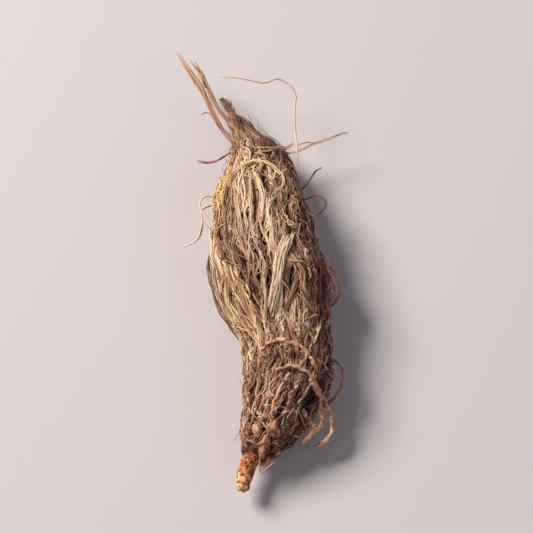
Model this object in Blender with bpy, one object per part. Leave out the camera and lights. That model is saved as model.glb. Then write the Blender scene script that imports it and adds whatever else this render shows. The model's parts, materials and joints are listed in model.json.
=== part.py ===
"""A dried spikenard root lying on a surface: a rhizome wrapped in the net of fibres left by its old leaves.

It grew as one piece, so it is one solid. +Y runs along it from the broken root end to the neck, +X is to its
right and +Z is up. The origin is the middle of the flat spot that it rests on. Lengths are in metres.
"""

import bisect
import math
import random

import bmesh
import bpy
from mathutils import Vector, noise

MM = 0.001

# Driving dimensions
ROOT_LENGTH = 79 * MM  # from the broken root end to the top of the neck, without the tuft
BELLY_WIDTH = 22 * MM  # across the widest stretch
HEIGHT_TO_WIDTH = 0.88  # the sheath is a little flattened
STUB_LENGTH = 6.5 * MM  # of root end that shows below the sheath
STUB_WIDTH = 4.6 * MM
REST_DISTANCE = 41 * MM  # from the broken end to the middle of the flat spot
REST_SIDE = 1.2 * MM  # from the line that the sideways measures start at to the middle of the flat spot
FIBRE_WIDTH = 0.72 * MM  # of a loose strand

# The sheath's outline: share of its length, then the sideways shift of its middle, half its width and the
# height of its underside, each as a share of the belly's width
SHEATH_OUTLINE = [
    (0.00, -0.06, 0.130, 0.130),
    (0.03, 0.00, 0.185, 0.095),
    (0.10, 0.095, 0.280, 0.050),
    (0.19, 0.180, 0.364, 0.020),
    (0.29, 0.186, 0.377, 0.002),
    (0.34, 0.145, 0.390, -0.008),
    (0.40, 0.095, 0.452, -0.019),
    (0.48, 0.062, 0.495, -0.026),
    (0.56, -0.005, 0.482, -0.020),
    (0.65, -0.025, 0.460, 0.000),
    (0.73, -0.048, 0.418, 0.025),
    (0.80, -0.048, 0.345, 0.055),
    (0.86, -0.055, 0.280, 0.090),
    (0.90, -0.086, 0.225, 0.120),
    (0.94, -0.170, 0.125, 0.175),
    (0.98, -0.250, 0.085, 0.225),
    (1.00, -0.290, 0.060, 0.245),
]
END_ROUNDING = 0.03  # share of the sheath's length over which each end closes

# The surface's grid, and the fibre ridges raised from it
AROUND = 75
ALONG = 25
LENGTHWISE_RIDGES = 20
LENGTHWISE_TURN = -0.5  # radians that the ridges wind round the root from end to end
CROSSING_RIDGES = 15
CROSSING_TURN = 1.7
RIDGE_HEIGHT = 1.35 * MM
FURROW_LEVEL = 0.7  # share of a ridge's height that lies below the smooth outline
RIDGE_WANDER = 5  # how far the ridges stray sideways, in radians of their own repeat
WANDER_SIZE = 14 * MM
LUMP_HEIGHT = 0.9 * MM
LUMP_SIZE = 9 * MM
FULL_RELIEF_WIDTH = 7.7 * MM  # half width of the sheath below which its relief fades
PRESSED_LENGTH = 15 * MM  # each way from the flat spot, over which the underside's ridges are pressed smooth

# The broken root end
STUB_RINGS = 7
POINTS_PER_RING = 4
RING_SWELL = 0.07
STUB_INSIDE = 5 * MM  # how far it runs on inside the sheath
STUB_TIP_SHARE = 0.6  # the tip's width as a share of the full width
STUB_WIDENING = 0.6  # share of its length from the tip over which it widens
STUB_TIP_SIDE = -3.85 * MM
STUB_LEAN = 3.4 * MM  # to the right, from the tip to the end inside
STUB_HEIGHT = 4.7 * MM
STUB_RISE = 0.9 * MM

# The rough collar where the sheath meets the root end: stumps of old leaf bases and rootlets.
# Each that can be told apart is millimetres along the root, millimetres sideways, its length and its width
NAMED_KNOBS = {
    "ball": (10.6, 1.9, 2.6, 2.5),
    "long_knob": (8.4, -0.1, 3.6, 1.9),
    "left_lump": (13.2, -2.9, 3.2, 2.6),
    "pale_lump": (10.7, -1.8, 2.2, 2.0),
    "edge_lump": (10.2, -4.0, 2.8, 1.6),
    "right_lump": (8.2, 3.4, 2.4, 1.5),
}
LOW_KNOBS = 5  # laid by rule round the underside
KNOB_LENGTH = 4.4 * MM
KNOB_WIDTH = 2.3 * MM
KNOB_DEPTH = 0.35 * MM  # of a stump's middle below the surface
COLLAR_STRETCH = (8 * MM, 13 * MM)  # the distances between which the low stumps sit
LOW_KNOB_ANGLES = (1.8, 4.5)

# Strands that lie on the sheath or stand out of it, seen from above. Each stop is millimetres along the root
# from its broken end, millimetres sideways, and millimetres above the sheath
NAMED_STRANDS = {
    "long_tuft": [
        (70, -3.5, -1), (74, -7.2, 0), (78, -10.1, 0.8), (81, -11.5, 1.6), (84.6, -13.3, 2.2),
        (88.6, -15.9, 2.8), (93, -18.4, 3.2),
    ],
    "middle_tuft": [
        (71, -2.5, -1), (75, -5.6, 0.4), (79, -8.9, 1.4), (82, -10.8, 2.2), (86, -12.7, 3.2),
        (90.4, -15.4, 4),
    ],
    "short_tuft": [(72, -3.5, -1), (76, -5.2, 0.8), (79.6, -6.8, 2), (82, -7.4, 3)],
    "tuft_spur": [(75, -7.6, -0.6), (78.6, -10.8, 0.6), (79.4, -12, 1), (78.6, -13.6, 1)],
    "neck_hook": [(72, -4.5, -0.8), (70.2, -7.2, 0), (68.5, -9.5, 0.2), (67.7, -11.8, 0.6), (67.8, -13.8, 1)],
    "upper_twin": [
        (67.8, -3.4, -0.8), (68.4, -0.2, 0.7), (69.3, 4.1, 1), (70.7, 8.1, 1.5), (72.4, 13.2, 2),
        (74.2, 17.2, 2.4),
    ],
    "lower_twin": [(67.2, -3, -0.8), (67.6, 0.2, 0.6), (68.7, 2, 1), (70.2, 3.8, 1.6), (71.8, 5.8, 2)],
    "airy_fibre": [
        (62, 6.2, -0.8), (68, 6.4, 1), (74, 6, 1.8), (79.2, 5.7, 2.4), (81.7, 6.2, 3), (84, 5.2, 3.6),
        (85.5, 2.6, 4.2), (84.2, 0, 4.6), (84.7, -3.6, 5), (85.5, -10.2, 5),
    ],
    "left_loop": [(52, -7.6, -0.8), (54.6, -10.8, 0), (57.4, -13, 0.4), (59.6, -12, 0.6), (59.2, -8, -0.6)],
    "left_runner": [(59, -7.4, -0.8), (57, -12.4, 0), (53.6, -12.5, -1), (51.2, -13.6, -2), (49.6, -17.4, -3)],
    "left_edge": [(55, -8.4, -0.6), (52, -10.6, 0.4), (49, -10.5, 0.8), (46.4, -10.4, 0.6), (43.6, -9, -0.6)],
    "arch": [
        (59.4, -8.6, 0), (61.8, -7.1, 0.6), (64, -4.6, 0.8), (64.8, -1.8, 0.9), (63.8, 0.9, 0.9),
        (61, 3.2, 0.8), (58, 3.2, 0.6), (55.6, 1, -0.5),
    ],
    "middle_cross": [(42.6, 3.4, -0.5), (41.7, 5.2, 0.8), (41.9, 7.2, 0.8), (41, 10, -0.6)],
    "lower_cross": [
        (24.4, -1.4, -0.4), (26.3, 0.8, 0.8), (26.5, 3, 0.9), (25.6, 5.8, 1), (23.8, 8, 0.9),
        (21.6, 9.4, -0.4),
    ],
    "rootlet": [
        (20, -1.8, -0.5), (20.9, 2.2, 0.8), (21.2, 5.4, 1), (20.4, 7.8, 1.2), (18.2, 10.4, 1.1),
        (15.2, 12.2, 0.4), (12.2, 12.7, -0.3), (9.9, 11.4, -0.8), (9, 9.2, -1),
    ],
    "rootlet_fork": [
        (19.8, 8.2, 0.6), (17.8, 10, 1.2), (14.8, 10.6, 1.2), (12.6, 10.6, 0.8), (11.2, 9.8, 0.6),
    ],
    "rootlet_arm": [(14.2, 7.2, 0.9), (12.4, 8.9, 1), (11.4, 10.4, 0.9)],
    "rootlet_spur": [(12.2, 9.4, 1), (10.4, 8.6, 0.9), (8.9, 6.9, 1)],
    "upright_edge": [(24.4, 8.2, -0.6), (26.6, 9, 0.4), (29.4, 9.8, 0.9), (33.2, 10.6, 1.4)],
    "edge_tip": [(25, 10.4, -0.6), (28, 11.3, 0.6), (31.6, 11.5, 1.1), (33.4, 12.4, 1.4), (34.8, 14.2, 1.5)],
    "outer_net": [
        (48.6, 8.4, -0.8), (46.8, 10, 0.4), (44, 12.5, 0.8), (41.2, 13.9, 0.8), (38.8, 14.7, 0.6),
        (37, 13.4, 0.2), (35.6, 10.6, -0.8),
    ],
    "middle_net": [(45.5, 8.8, -0.6), (43.2, 11.4, 1.2), (40.6, 13.2, 1.4), (38, 13.2, 1), (35, 10, -0.8)],
    "inner_net": [(50, 8.6, -0.6), (46.4, 11.2, 1), (42.4, 12.6, 2), (38.6, 12, 1.4), (36, 9.6, -0.6)],
    "far_loop": [(28, 9.6, -0.8), (25.4, 13.4, 0.2), (22.6, 14.6, 0.2), (19, 14, 0), (15.4, 9.6, -0.8)],
    "outer_fringe": [
        (50, -9, -0.8), (46.4, -11, 0.2), (41.4, -10.7, 0), (37, -9.4, 0), (33, -7.2, 0), (29, -4, -0.6),
    ],
    "inner_fringe": [(47, -8.8, -0.6), (42.6, -10.1, 0.8), (37, -8.4, 1), (31, -4.6, -0.5)],
    "shoulder_curl": [(61, 6.4, -0.6), (63.6, 8.8, 0.4), (65.6, 10, 0.8), (66.4, 11.4, 1.2)],
    "shoulder_crook": [(59, 7, -0.6), (60, 10.2, 0.4), (57.6, 12, 0.6), (55, 9.4, -0.4)],
    "stub_whisker": [(8.4, -0.6, -0.4), (5.4, -1.1, 0.9), (3.2, -0.8, 1.1), (4.2, 0.4, 1), (5.8, 2, 0.8)],
    "belly_wisp": [(40, -2, -0.8), (43.4, -3, 0.9), (46.4, -3.2, 2.6), (48.6, -2.4, 3.6)],
    "shoulder_wisp": [(55, 3, -0.8), (52, 3.6, 1), (49.4, 4.6, 2.6), (48, 6, 3.6)],
}
ADDED_POINTS = 3  # points along a named strand beyond the number of its stops
# widths as shares of FIBRE_WIDTH, where they differ from it
THICK_STRANDS = {
    "rootlet": 1.4,
    "rootlet_fork": 1.7,
    "rootlet_arm": 1.4,
    "rootlet_spur": 1.4,
    "lower_cross": 1.6,
    "long_tuft": 1.6,
    "middle_tuft": 1.5,
    "left_edge": 1.3,
    "arch": 1.2,
}
THIN_STRANDS = {
    "airy_fibre": 0.8,
    "far_loop": 0.8,
    "tuft_spur": 0.8,
    "left_loop": 0.85,
    "left_runner": 0.85,
    "neck_hook": 0.85,
}

# Strands laid by rule, the same on every run. Each pair is the least and the most
SEED = 27
STRAND_STOPS = 7  # points along each strand
ROOT_DEPTH = 0.9 * MM  # how far a strand's end is sunk
LOWEST_STRAND = 0.45 * MM  # a strand's middle stays this far above the surface the root lies on
SHEATH_STRETCH = (11 * MM, 69 * MM)  # the distances between which strands are laid
LYING_STRANDS = 16
LYING_LENGTH = (11 * MM, 19 * MM)
LYING_TURN = (0.25, 0.75)  # radians round the root from one end of the strand to the other
LYING_BOW = 0.14
LYING_LIFT = 0.2 * MM
SPREAD_AROUND = 2.4  # radians from one lying strand to the next, so that no two share a side
SPREAD_ALONG = 0.755  # share of the stretch from one lying strand to the next
STANDING_STRANDS = 12
STANDING_LENGTH = (5 * MM, 10 * MM)
STANDING_HEIGHT = (1.4 * MM, 3.4 * MM)  # of the tip above the sheath
STANDING_SIDES = 1.9  # radians each way from the top within which they start
STANDING_TURN = 0.35
TIP_SHARE = 0.45  # a strand's width at its tip as a share of its full width
FULL_WIDTH_STRETCH = 0.15  # share of a strand from its root that keeps the full width


def blend(stops, place):
    """The values at a place on the smooth line through stops, each a place followed by its values."""
    places = [stop[0] for stop in stops]
    place = min(max(place, places[0]), places[-1])
    right = min(max(bisect.bisect_right(places, place), 1), len(stops) - 1)
    left = right - 1
    gap = places[right] - places[left]
    t = (place - places[left]) / gap
    values = []
    for column in range(1, len(stops[0])):
        a, b = stops[left][column], stops[right][column]
        slopes = []
        for i in (left, right):
            before, after = stops[max(i - 1, 0)], stops[min(i + 1, len(stops) - 1)]
            slopes.append(gap * (after[column] - before[column]) / (after[0] - before[0]))
        values.append(
            a * (2 * t**3 - 3 * t**2 + 1)
            + b * (3 * t**2 - 2 * t**3)
            + slopes[0] * (t**3 - 2 * t**2 + t)
            + slopes[1] * (t**3 - t**2)
        )
    return values


def spread_along(stops, count):
    """Evenly spread values on the smooth line through a list of stops."""
    numbered = [(i, *stop) for i, stop in enumerate(stops)]
    return [blend(numbered, (len(stops) - 1) * i / (count - 1)) for i in range(count)]


def section(distance):
    """The middle, half width and half height of the sheath's cross-section at a distance along the root."""
    share = (distance - STUB_LENGTH) / (ROOT_LENGTH - STUB_LENGTH)
    shift, half, underside = (value * BELLY_WIDTH for value in blend(SHEATH_OUTLINE, share))
    to_end = max(min(share, 1 - share), 0)
    if to_end < END_ROUNDING:
        inset = half * (1 - math.sqrt(1 - (1 - to_end / END_ROUNDING) ** 2))
    else:
        inset = 0
    height = half * HEIGHT_TO_WIDTH
    middle = Vector((shift - REST_SIDE, distance - REST_DISTANCE, underside + height))
    return middle, half - inset, height - inset * HEIGHT_TO_WIDTH


def on_sheath(distance, angle, lift=0):
    """A point on the smooth sheath, or above it. Angle 0 is the top and a quarter turn is +X."""
    middle, half_width, half_height = section(distance)
    return middle + Vector(((half_width + lift) * math.sin(angle), 0, (half_height + lift) * math.cos(angle)))


def seen_from_above(distance, side, lift):
    """The point of the sheath that shows at a sideways place, or the air beside it at its middle height."""
    middle, half_width, half_height = section(distance)
    x = side - REST_SIDE
    across = (x - middle.x) / max(half_width, 0.1 * MM)
    rise = half_height * math.sqrt(max(1 - across**2, 0))
    return Vector((x, middle.y, middle.z + rise + lift))


def ridge(phase):
    """A rounded ridge with sharp furrows beside it, from 0 to 1."""
    return abs(math.sin(phase / 2))


def relief(distance, angle):
    """How far the fibres and lumps stand out of the smooth sheath."""
    along = distance / ROOT_LENGTH
    around = Vector((math.sin(angle), math.cos(angle), 0))
    wander = RIDGE_WANDER * noise.noise(around * 1.4 + Vector((0, 0, distance / WANDER_SIZE)))
    lump = noise.noise(around * 1.6 + Vector((5, 2, distance / LUMP_SIZE)))
    lengthwise = ridge(LENGTHWISE_RIDGES * (angle + LENGTHWISE_TURN * along) + wander)
    crossing = ridge(CROSSING_RIDGES * (angle + CROSSING_TURN * along) - wander)
    raised = max(lengthwise, 0.9 * crossing)
    fade = min(1, section(distance)[1] / FULL_RELIEF_WIDTH)
    below = max(-math.cos(angle), 0)
    pressed = below**6 * math.exp(-(((distance - REST_DISTANCE) / PRESSED_LENGTH) ** 2))
    return fade * (1 - pressed) * (RIDGE_HEIGHT * (raised - FURROW_LEVEL) + LUMP_HEIGHT * lump)


def make_sheath():
    """The spindle of matted fibres, with its ridges raised by the relief."""
    mesh = bmesh.new()
    bmesh.ops.create_uvsphere(mesh, u_segments=AROUND, v_segments=ALONG, radius=1)
    for vertex in mesh.verts:
        along = 1 - math.acos(max(min(vertex.co.z, 1), -1)) / math.pi
        distance = STUB_LENGTH + along * (ROOT_LENGTH - STUB_LENGTH)
        angle = math.atan2(vertex.co.y, vertex.co.x)
        vertex.co = on_sheath(distance, angle, relief(distance, angle))
    return as_object("spikenard_root", mesh)


def as_object(name, mesh):
    """A Blender object with a finished bmesh as its mesh."""
    data = bpy.data.meshes.new(name)
    mesh.to_mesh(data)
    mesh.free()
    made = bpy.data.objects.new(name, data)
    bpy.context.scene.collection.objects.link(made)
    return made


def tube(name, points, radii, sides_resolution=0):
    """A closed tube along points with its own radius at each, as a mesh object."""
    curve = bpy.data.curves.new(name, "CURVE")
    curve.dimensions = "3D"
    curve.bevel_depth = 1
    curve.bevel_resolution = sides_resolution
    curve.use_fill_caps = True
    line = curve.splines.new("POLY")
    line.points.add(len(points) - 1)
    for spot, point, radius in zip(line.points, points, radii):
        spot.co = (*point, 1)
        spot.radius = radius
    guide = bpy.data.objects.new(name, curve)
    bpy.context.scene.collection.objects.link(guide)
    bpy.context.view_layer.update()
    evaluated = guide.evaluated_get(bpy.context.evaluated_depsgraph_get())
    mesh = bmesh.new()
    mesh.from_mesh(bpy.data.meshes.new_from_object(evaluated))
    bmesh.ops.remove_doubles(mesh, verts=mesh.verts, dist=0.01 * MM)
    bmesh.ops.recalc_face_normals(mesh, faces=mesh.faces)
    bpy.data.objects.remove(guide)
    return as_object(name, mesh)


def make_stub():
    """The broken root end: a short woody peg with growth rings, leaning left and thinner at its tip."""
    points, radii = [], []
    for i in range(STUB_RINGS * POINTS_PER_RING + 1):
        along = i / (STUB_RINGS * POINTS_PER_RING)
        swell = 1 + RING_SWELL * math.cos(math.tau * STUB_RINGS * along)
        narrowing = min(1, STUB_TIP_SHARE + (1 - STUB_TIP_SHARE) * along / STUB_WIDENING)
        rounding = math.sqrt(1 - (1 - min(1, 0.3 + along / 0.15)) ** 2)
        side = STUB_TIP_SIDE + STUB_LEAN * along**2 - REST_SIDE
        distance = along * (STUB_LENGTH + STUB_INSIDE)
        points.append(Vector((side, distance - REST_DISTANCE, STUB_HEIGHT + STUB_RISE * along)))
        radii.append(STUB_WIDTH / 2 * rounding * swell * narrowing)
    return tube("stub", points, radii, sides_resolution=3)


def make_knob(name, distance, angle, length, width):
    """A stump of the collar: a small lump laid along the root and half sunk in it."""
    mesh = bmesh.new()
    bmesh.ops.create_uvsphere(mesh, u_segments=8, v_segments=5, radius=0.5)
    bmesh.ops.scale(mesh, vec=(width, length, width), verts=mesh.verts)
    place = on_sheath(distance, angle, relief(distance, angle) - KNOB_DEPTH)
    bmesh.ops.translate(mesh, vec=place, verts=mesh.verts)
    return as_object(name, mesh)


def make_knobs():
    """The stumps round the collar."""
    made = []
    for name, values in NAMED_KNOBS.items():
        distance, side, length, width = (value * MM for value in values)
        middle, half_width, half_height = section(distance)
        across = (side - REST_SIDE - middle.x) / half_width
        angle = math.asin(max(min(across, 1), -1))
        made.append(make_knob(name, distance, angle, length, width))
    first, last = COLLAR_STRETCH
    left, right = LOW_KNOB_ANGLES
    for i in range(LOW_KNOBS):
        distance = first + (last - first) * (i * SPREAD_ALONG % 1)
        angle = left + (right - left) * i / (LOW_KNOBS - 1)
        size = 0.8 + 0.4 * (i * SPREAD_AROUND % 1)
        made.append(make_knob(f"low_knob_{i}", distance, angle, KNOB_LENGTH * size, KNOB_WIDTH * size))
    return made


def taper(share):
    """A strand's thickness along it: full at the root, thin at the tip."""
    return TIP_SHARE + (1 - TIP_SHARE) * min(1, (1 - share) / (1 - FULL_WIDTH_STRETCH))


def raised_from_floor(point):
    """The same point, no nearer to the surface below than a strand may lie."""
    return Vector((point.x, point.y, max(point.z, LOWEST_STRAND)))


def make_strand(name, points, width):
    """One loose fibre strand, thinning towards its tip."""
    last = len(points) - 1
    radii = [width / 2 * taper(i / last) for i in range(last + 1)]
    return tube(name, [raised_from_floor(point) for point in points], radii)


def make_named_strands():
    """The strands that can be told apart on this root."""
    made = []
    for name, stops in NAMED_STRANDS.items():
        width = FIBRE_WIDTH * THICK_STRANDS.get(name, THIN_STRANDS.get(name, 1))
        count = len(stops) + ADDED_POINTS
        points = [seen_from_above(*(value * MM for value in stop)) for stop in spread_along(stops, count)]
        made.append(make_strand(name, points, width))
    return made


def lying_route(draw, number):
    """A strand that lies along the sheath with both ends sunk in it."""
    length = draw.uniform(*LYING_LENGTH)
    first, last = SHEATH_STRETCH
    start = first + (last - first - length) * (number * SPREAD_ALONG % 1)
    angle = number * SPREAD_AROUND
    turn = draw.choice((-1, 1)) * draw.uniform(*LYING_TURN)
    bow = draw.gauss(0, LYING_BOW)
    points = []
    for i in range(STRAND_STOPS):
        share = i / (STRAND_STOPS - 1)
        over = math.sin(math.pi * share)
        distance = start + length * share
        here = angle + turn * share + bow * over
        lift = -ROOT_DEPTH + (ROOT_DEPTH + LYING_LIFT) * min(1, 1.7 * over)
        points.append(on_sheath(distance, here, lift + relief(distance, here)))
    return points


def standing_route(draw):
    """A strand that leaves the sheath at a low angle and ends in the air."""
    first, last = SHEATH_STRETCH
    start = draw.uniform(first, last)
    length = draw.choice((-1, 1)) * draw.uniform(*STANDING_LENGTH)
    angle = draw.uniform(-STANDING_SIDES, STANDING_SIDES)
    turn = draw.gauss(0, STANDING_TURN)
    height = draw.uniform(*STANDING_HEIGHT)
    points = []
    for i in range(STRAND_STOPS):
        share = i / (STRAND_STOPS - 1)
        distance = min(max(start + length * share, first), last)
        lift = -ROOT_DEPTH + ROOT_DEPTH * min(1, 4 * share) + height * share**2
        points.append(on_sheath(distance, angle + turn * share, lift))
    return points


def make_laid_strands():
    """The strands placed by rule, evenly round the root."""
    draw = random.Random(SEED)
    made = []
    for i in range(LYING_STRANDS):
        made.append(make_strand(f"lying_{i}", lying_route(draw, i), FIBRE_WIDTH * 1.1))
    for i in range(STANDING_STRANDS):
        made.append(make_strand(f"standing_{i}", standing_route(draw), FIBRE_WIDTH * 0.9))
    return made


def apply_modifiers(target):
    """Makes what the target's modifiers show its own mesh."""
    evaluated = target.evaluated_get(bpy.context.evaluated_depsgraph_get())
    made = bpy.data.meshes.new_from_object(evaluated)
    target.modifiers.clear()
    target.data = made


def join_to(body, pieces):
    """Fuses the pieces with the body in one Boolean union, and removes them."""
    joined = bpy.data.collections.new("fused_strands")
    bpy.context.scene.collection.children.link(joined)
    for piece in pieces:
        bpy.context.scene.collection.objects.unlink(piece)
        joined.objects.link(piece)
    union = body.modifiers.new("union", "BOOLEAN")
    union.operand_type = "COLLECTION"
    union.collection = joined
    union.operation = "UNION"
    union.solver = "MANIFOLD"
    apply_modifiers(body)
    for piece in pieces:
        bpy.data.objects.remove(piece)
    bpy.data.collections.remove(joined)


def cut_flat_spot(body):
    """Cuts away what lies below the surface, which leaves the flat spot that the root rests on."""
    mesh = bmesh.new()
    bmesh.ops.create_cube(mesh, size=2 * ROOT_LENGTH)
    bmesh.ops.translate(mesh, vec=(0, 0, -ROOT_LENGTH), verts=mesh.verts)
    block = as_object("floor_block", mesh)
    cut = body.modifiers.new("flat_spot", "BOOLEAN")
    cut.object = block
    cut.operation = "DIFFERENCE"
    apply_modifiers(body)
    bpy.data.objects.remove(block)


def keep_largest_body(target):
    """Drops the loose scraps that the flat cut leaves of low strands, and any sealed pocket under a strand."""
    mesh = bmesh.new()
    mesh.from_mesh(target.data)
    unseen = set(mesh.verts)
    bodies = []
    while unseen:
        found = set()
        front = [unseen.pop()]
        while front:
            vertex = front.pop()
            found.add(vertex)
            near = {edge.other_vert(vertex) for edge in vertex.link_edges} & unseen
            front.extend(near)
            unseen -= near
        bodies.append(found)
    largest = max(bodies, key=len)
    bmesh.ops.delete(mesh, geom=[v for v in mesh.verts if v not in largest], context="VERTS")
    mesh.to_mesh(target.data)
    mesh.free()


def dry_fibre():
    """The straw brown of the dried fibres."""
    material = bpy.data.materials.new("dry_fibre")
    material.use_nodes = True
    shader = material.node_tree.nodes["Principled BSDF"]
    shader.inputs["Base Color"].default_value = (0.36, 0.21, 0.11, 1)
    shader.inputs["Roughness"].default_value = 0.75
    shader.inputs["Metallic"].default_value = 0
    return material


def build():
    """Models the root from an empty scene."""
    for old in list(bpy.data.objects):
        bpy.data.objects.remove(old)
    root = make_sheath()
    join_to(root, [make_stub(), *make_knobs(), *make_named_strands(), *make_laid_strands()])
    cut_flat_spot(root)
    keep_largest_body(root)
    root.data.materials.clear()
    root.data.materials.append(dry_fibre())
    root.data.shade_smooth()
    root.data.set_sharp_from_angle(angle=math.radians(50))
    bpy.context.scene.collection.objects.unlink(root)
    parts = bpy.data.collections.new("spikenard_root")
    bpy.context.scene.collection.children.link(parts)
    parts.objects.link(root)


build()
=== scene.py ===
import json
import math

import bmesh
import bpy
import numpy as np
from mathutils import Matrix, Vector, noise

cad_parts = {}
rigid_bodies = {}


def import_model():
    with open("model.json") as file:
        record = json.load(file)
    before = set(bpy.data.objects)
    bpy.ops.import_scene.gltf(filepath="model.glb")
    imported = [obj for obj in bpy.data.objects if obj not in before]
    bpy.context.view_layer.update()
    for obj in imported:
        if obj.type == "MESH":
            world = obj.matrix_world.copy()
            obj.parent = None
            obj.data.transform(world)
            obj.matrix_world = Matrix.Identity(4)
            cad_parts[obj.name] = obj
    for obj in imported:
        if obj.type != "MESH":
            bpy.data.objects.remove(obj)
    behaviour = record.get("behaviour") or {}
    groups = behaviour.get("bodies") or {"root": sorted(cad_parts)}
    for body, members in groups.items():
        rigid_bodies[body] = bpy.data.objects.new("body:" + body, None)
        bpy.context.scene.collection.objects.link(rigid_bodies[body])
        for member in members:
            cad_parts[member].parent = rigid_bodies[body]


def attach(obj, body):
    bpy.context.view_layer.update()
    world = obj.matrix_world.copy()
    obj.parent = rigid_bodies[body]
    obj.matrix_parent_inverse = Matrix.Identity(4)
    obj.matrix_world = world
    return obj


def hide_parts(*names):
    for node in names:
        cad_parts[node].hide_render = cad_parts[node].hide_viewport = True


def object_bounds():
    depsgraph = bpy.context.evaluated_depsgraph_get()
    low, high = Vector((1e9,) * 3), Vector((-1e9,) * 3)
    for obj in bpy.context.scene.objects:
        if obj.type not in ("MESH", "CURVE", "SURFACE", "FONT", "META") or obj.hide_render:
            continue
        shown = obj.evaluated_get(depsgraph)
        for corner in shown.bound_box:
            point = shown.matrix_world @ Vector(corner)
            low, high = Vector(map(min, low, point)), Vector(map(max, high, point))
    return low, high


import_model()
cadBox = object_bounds()
lowCorner, highCorner = (np.array(corner) for corner in cadBox)

mm = 0.001  # everything below is in millimetres until a mesh is made
rng = np.random.default_rng(41)
print("frame loaded")


# The root's own measures, the same as the solid's

root = {
    "length": 79.0,  # from the broken end to the top of the neck
    "stub": 6.5,  # of broken end that shows below the sheath
    "bareCollar": 5.6,  # above that, where knobs show and hardly any fibre covers them
    "bareTurn": (-0.2, 0.75),  # the middle of that stretch round the root, and its reach
    "belly": 22.0,  # across the widest stretch
    "heightShare": 0.88,
    "restDistance": 41.0,  # from the broken end to the middle of the flat spot
    "restLength": 15.0,
    "restSide": 1.2,
    "endRounding": 0.03,  # share of the sheath over which each end closes
    "matDepth": 0.8,  # how far the mat's middle lies under the outline, which runs along its outer fibres
    "leanPastEnd": -0.6,  # sideways millimetres for each one past the neck's end, where the tuft leaves
    "clearance": 0.04,  # between the outermost strands and the solid's box
    # share of the sheath's length, then the shift of its middle, half its width and its underside,
    # each as a share of the belly
    "outline": [
        (0, -0.06, 0.13, 0.13), (0.03, 0, 0.185, 0.095), (0.1, 0.095, 0.28, 0.05), (0.19, 0.18, 0.364, 0.02),
        (0.29, 0.186, 0.377, 0.002), (0.34, 0.145, 0.39, -0.008), (0.4, 0.095, 0.452, -0.019),
        (0.48, 0.062, 0.495, -0.026), (0.56, -0.005, 0.482, -0.02), (0.65, -0.025, 0.46, 0),
        (0.73, -0.048, 0.418, 0.025), (0.8, -0.048, 0.345, 0.055), (0.86, -0.055, 0.28, 0.09),
        (0.9, -0.086, 0.225, 0.12), (0.94, -0.17, 0.125, 0.175), (0.98, -0.25, 0.085, 0.225),
        (1.0, -0.29, 0.06, 0.245),
    ],
    "lumpHeight": 0.9,
    "lumpSize": 9.0,
    "ridgeHeight": 0.6,  # lower than the solid's, whose ridges stand for the fibres that are modelled here
    "ridges": 20,
    "ridgeTurn": -0.5,
    "ridgeWander": 5.0,
    # hollows between the fibres, sunk into the sheath and darkened as painted shade: distance, angle, half length,
    # half width and depth
    "hollows": [
        (37.8, 0.33, 2.6, 0.8, 1.8), (44.4, 0.38, 1.3, 0.8, 0.9), (54.4, -0.14, 3.6, 0.4, 1.0),
        (8.9, -0.8, 1.0, 0.8, 1.1), (42.2, -0.58, 2.0, 0.7, 1.2), (38.8, -0.68, 1.2, 0.7, 0.9),
        (60.0, 0.1, 1.9, 0.9, 1.6), (59.2, 0.44, 1.2, 0.6, 1.0), (65.6, 0.26, 1.5, 1.3, 0.7),
        (64.0, 0.93, 3.0, 0.8, 0.9), (28.5, 0.14, 2.0, 1.1, 0.9), (16.2, 0.96, 3.2, 1.4, 1.9),
        (23.4, 0.18, 1.0, 1.1, 1.1), (20.5, 0.14, 0.6, 1.4, 0.9), (11.8, 1.2, 2.2, 1.0, 0.9),
        (9.2, -0.36, 0.8, 0.45, 0.7), (12.2, -0.32, 0.8, 0.45, 0.6), (39.5, 1.1, 2.0, 1.0, 1.0),
        (52.0, 2.6, 3.0, 1.0, 1.0), (30.0, -1.9, 3.0, 1.0, 1.0), (24.0, 2.3, 2.5, 1.0, 1.0),
    ],
}


def smoothLine(stops, places):
    # values at places on a smooth line through stops, each a place followed by its values
    stops = np.array(stops, float)
    x, y = stops[:, 0], stops[:, 1:]
    slope = np.empty_like(y)
    slope[1:-1] = (y[2:] - y[:-2]) / (x[2:] - x[:-2])[:, None]
    slope[0] = (y[1] - y[0]) / (x[1] - x[0])
    slope[-1] = (y[-1] - y[-2]) / (x[-1] - x[-2])
    right = np.clip(np.searchsorted(x, places, side="right"), 1, len(x) - 1)
    left = right - 1
    gap = (x[right] - x[left])[:, None]
    t = np.clip((places - x[left])[:, None] / gap, 0, 1)
    return (
        y[left] * (2 * t**3 - 3 * t**2 + 1)
        + y[right] * (3 * t**2 - 2 * t**3)
        + gap * slope[left] * (t**3 - 2 * t**2 + t)
        + gap * slope[right] * (t**3 - t**2)
    )


def makeSectionTable():
    # shift, middle height, half width and half height of the sheath every tenth of a millimetre
    distances = np.arange(0, root["length"] + 10, 0.1)
    share = np.clip((distances - root["stub"]) / (root["length"] - root["stub"]), 0, 1)
    shift, half, underside = smoothLine(root["outline"], share).T * root["belly"]
    shift += root["leanPastEnd"] * np.maximum(distances - root["length"], 0)
    toEnd = np.clip(np.minimum(share, 1 - share) / root["endRounding"], 0, 1)
    closing = np.sqrt(1 - (1 - toEnd) ** 2)
    height = half * root["heightShare"]
    return distances, shift - root["restSide"], underside + height, half * closing, height * closing


sectionTable = makeSectionTable()


def section(distance):
    # the same four at any distance
    return [np.interp(distance, sectionTable[0], column) for column in sectionTable[1:]]


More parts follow.
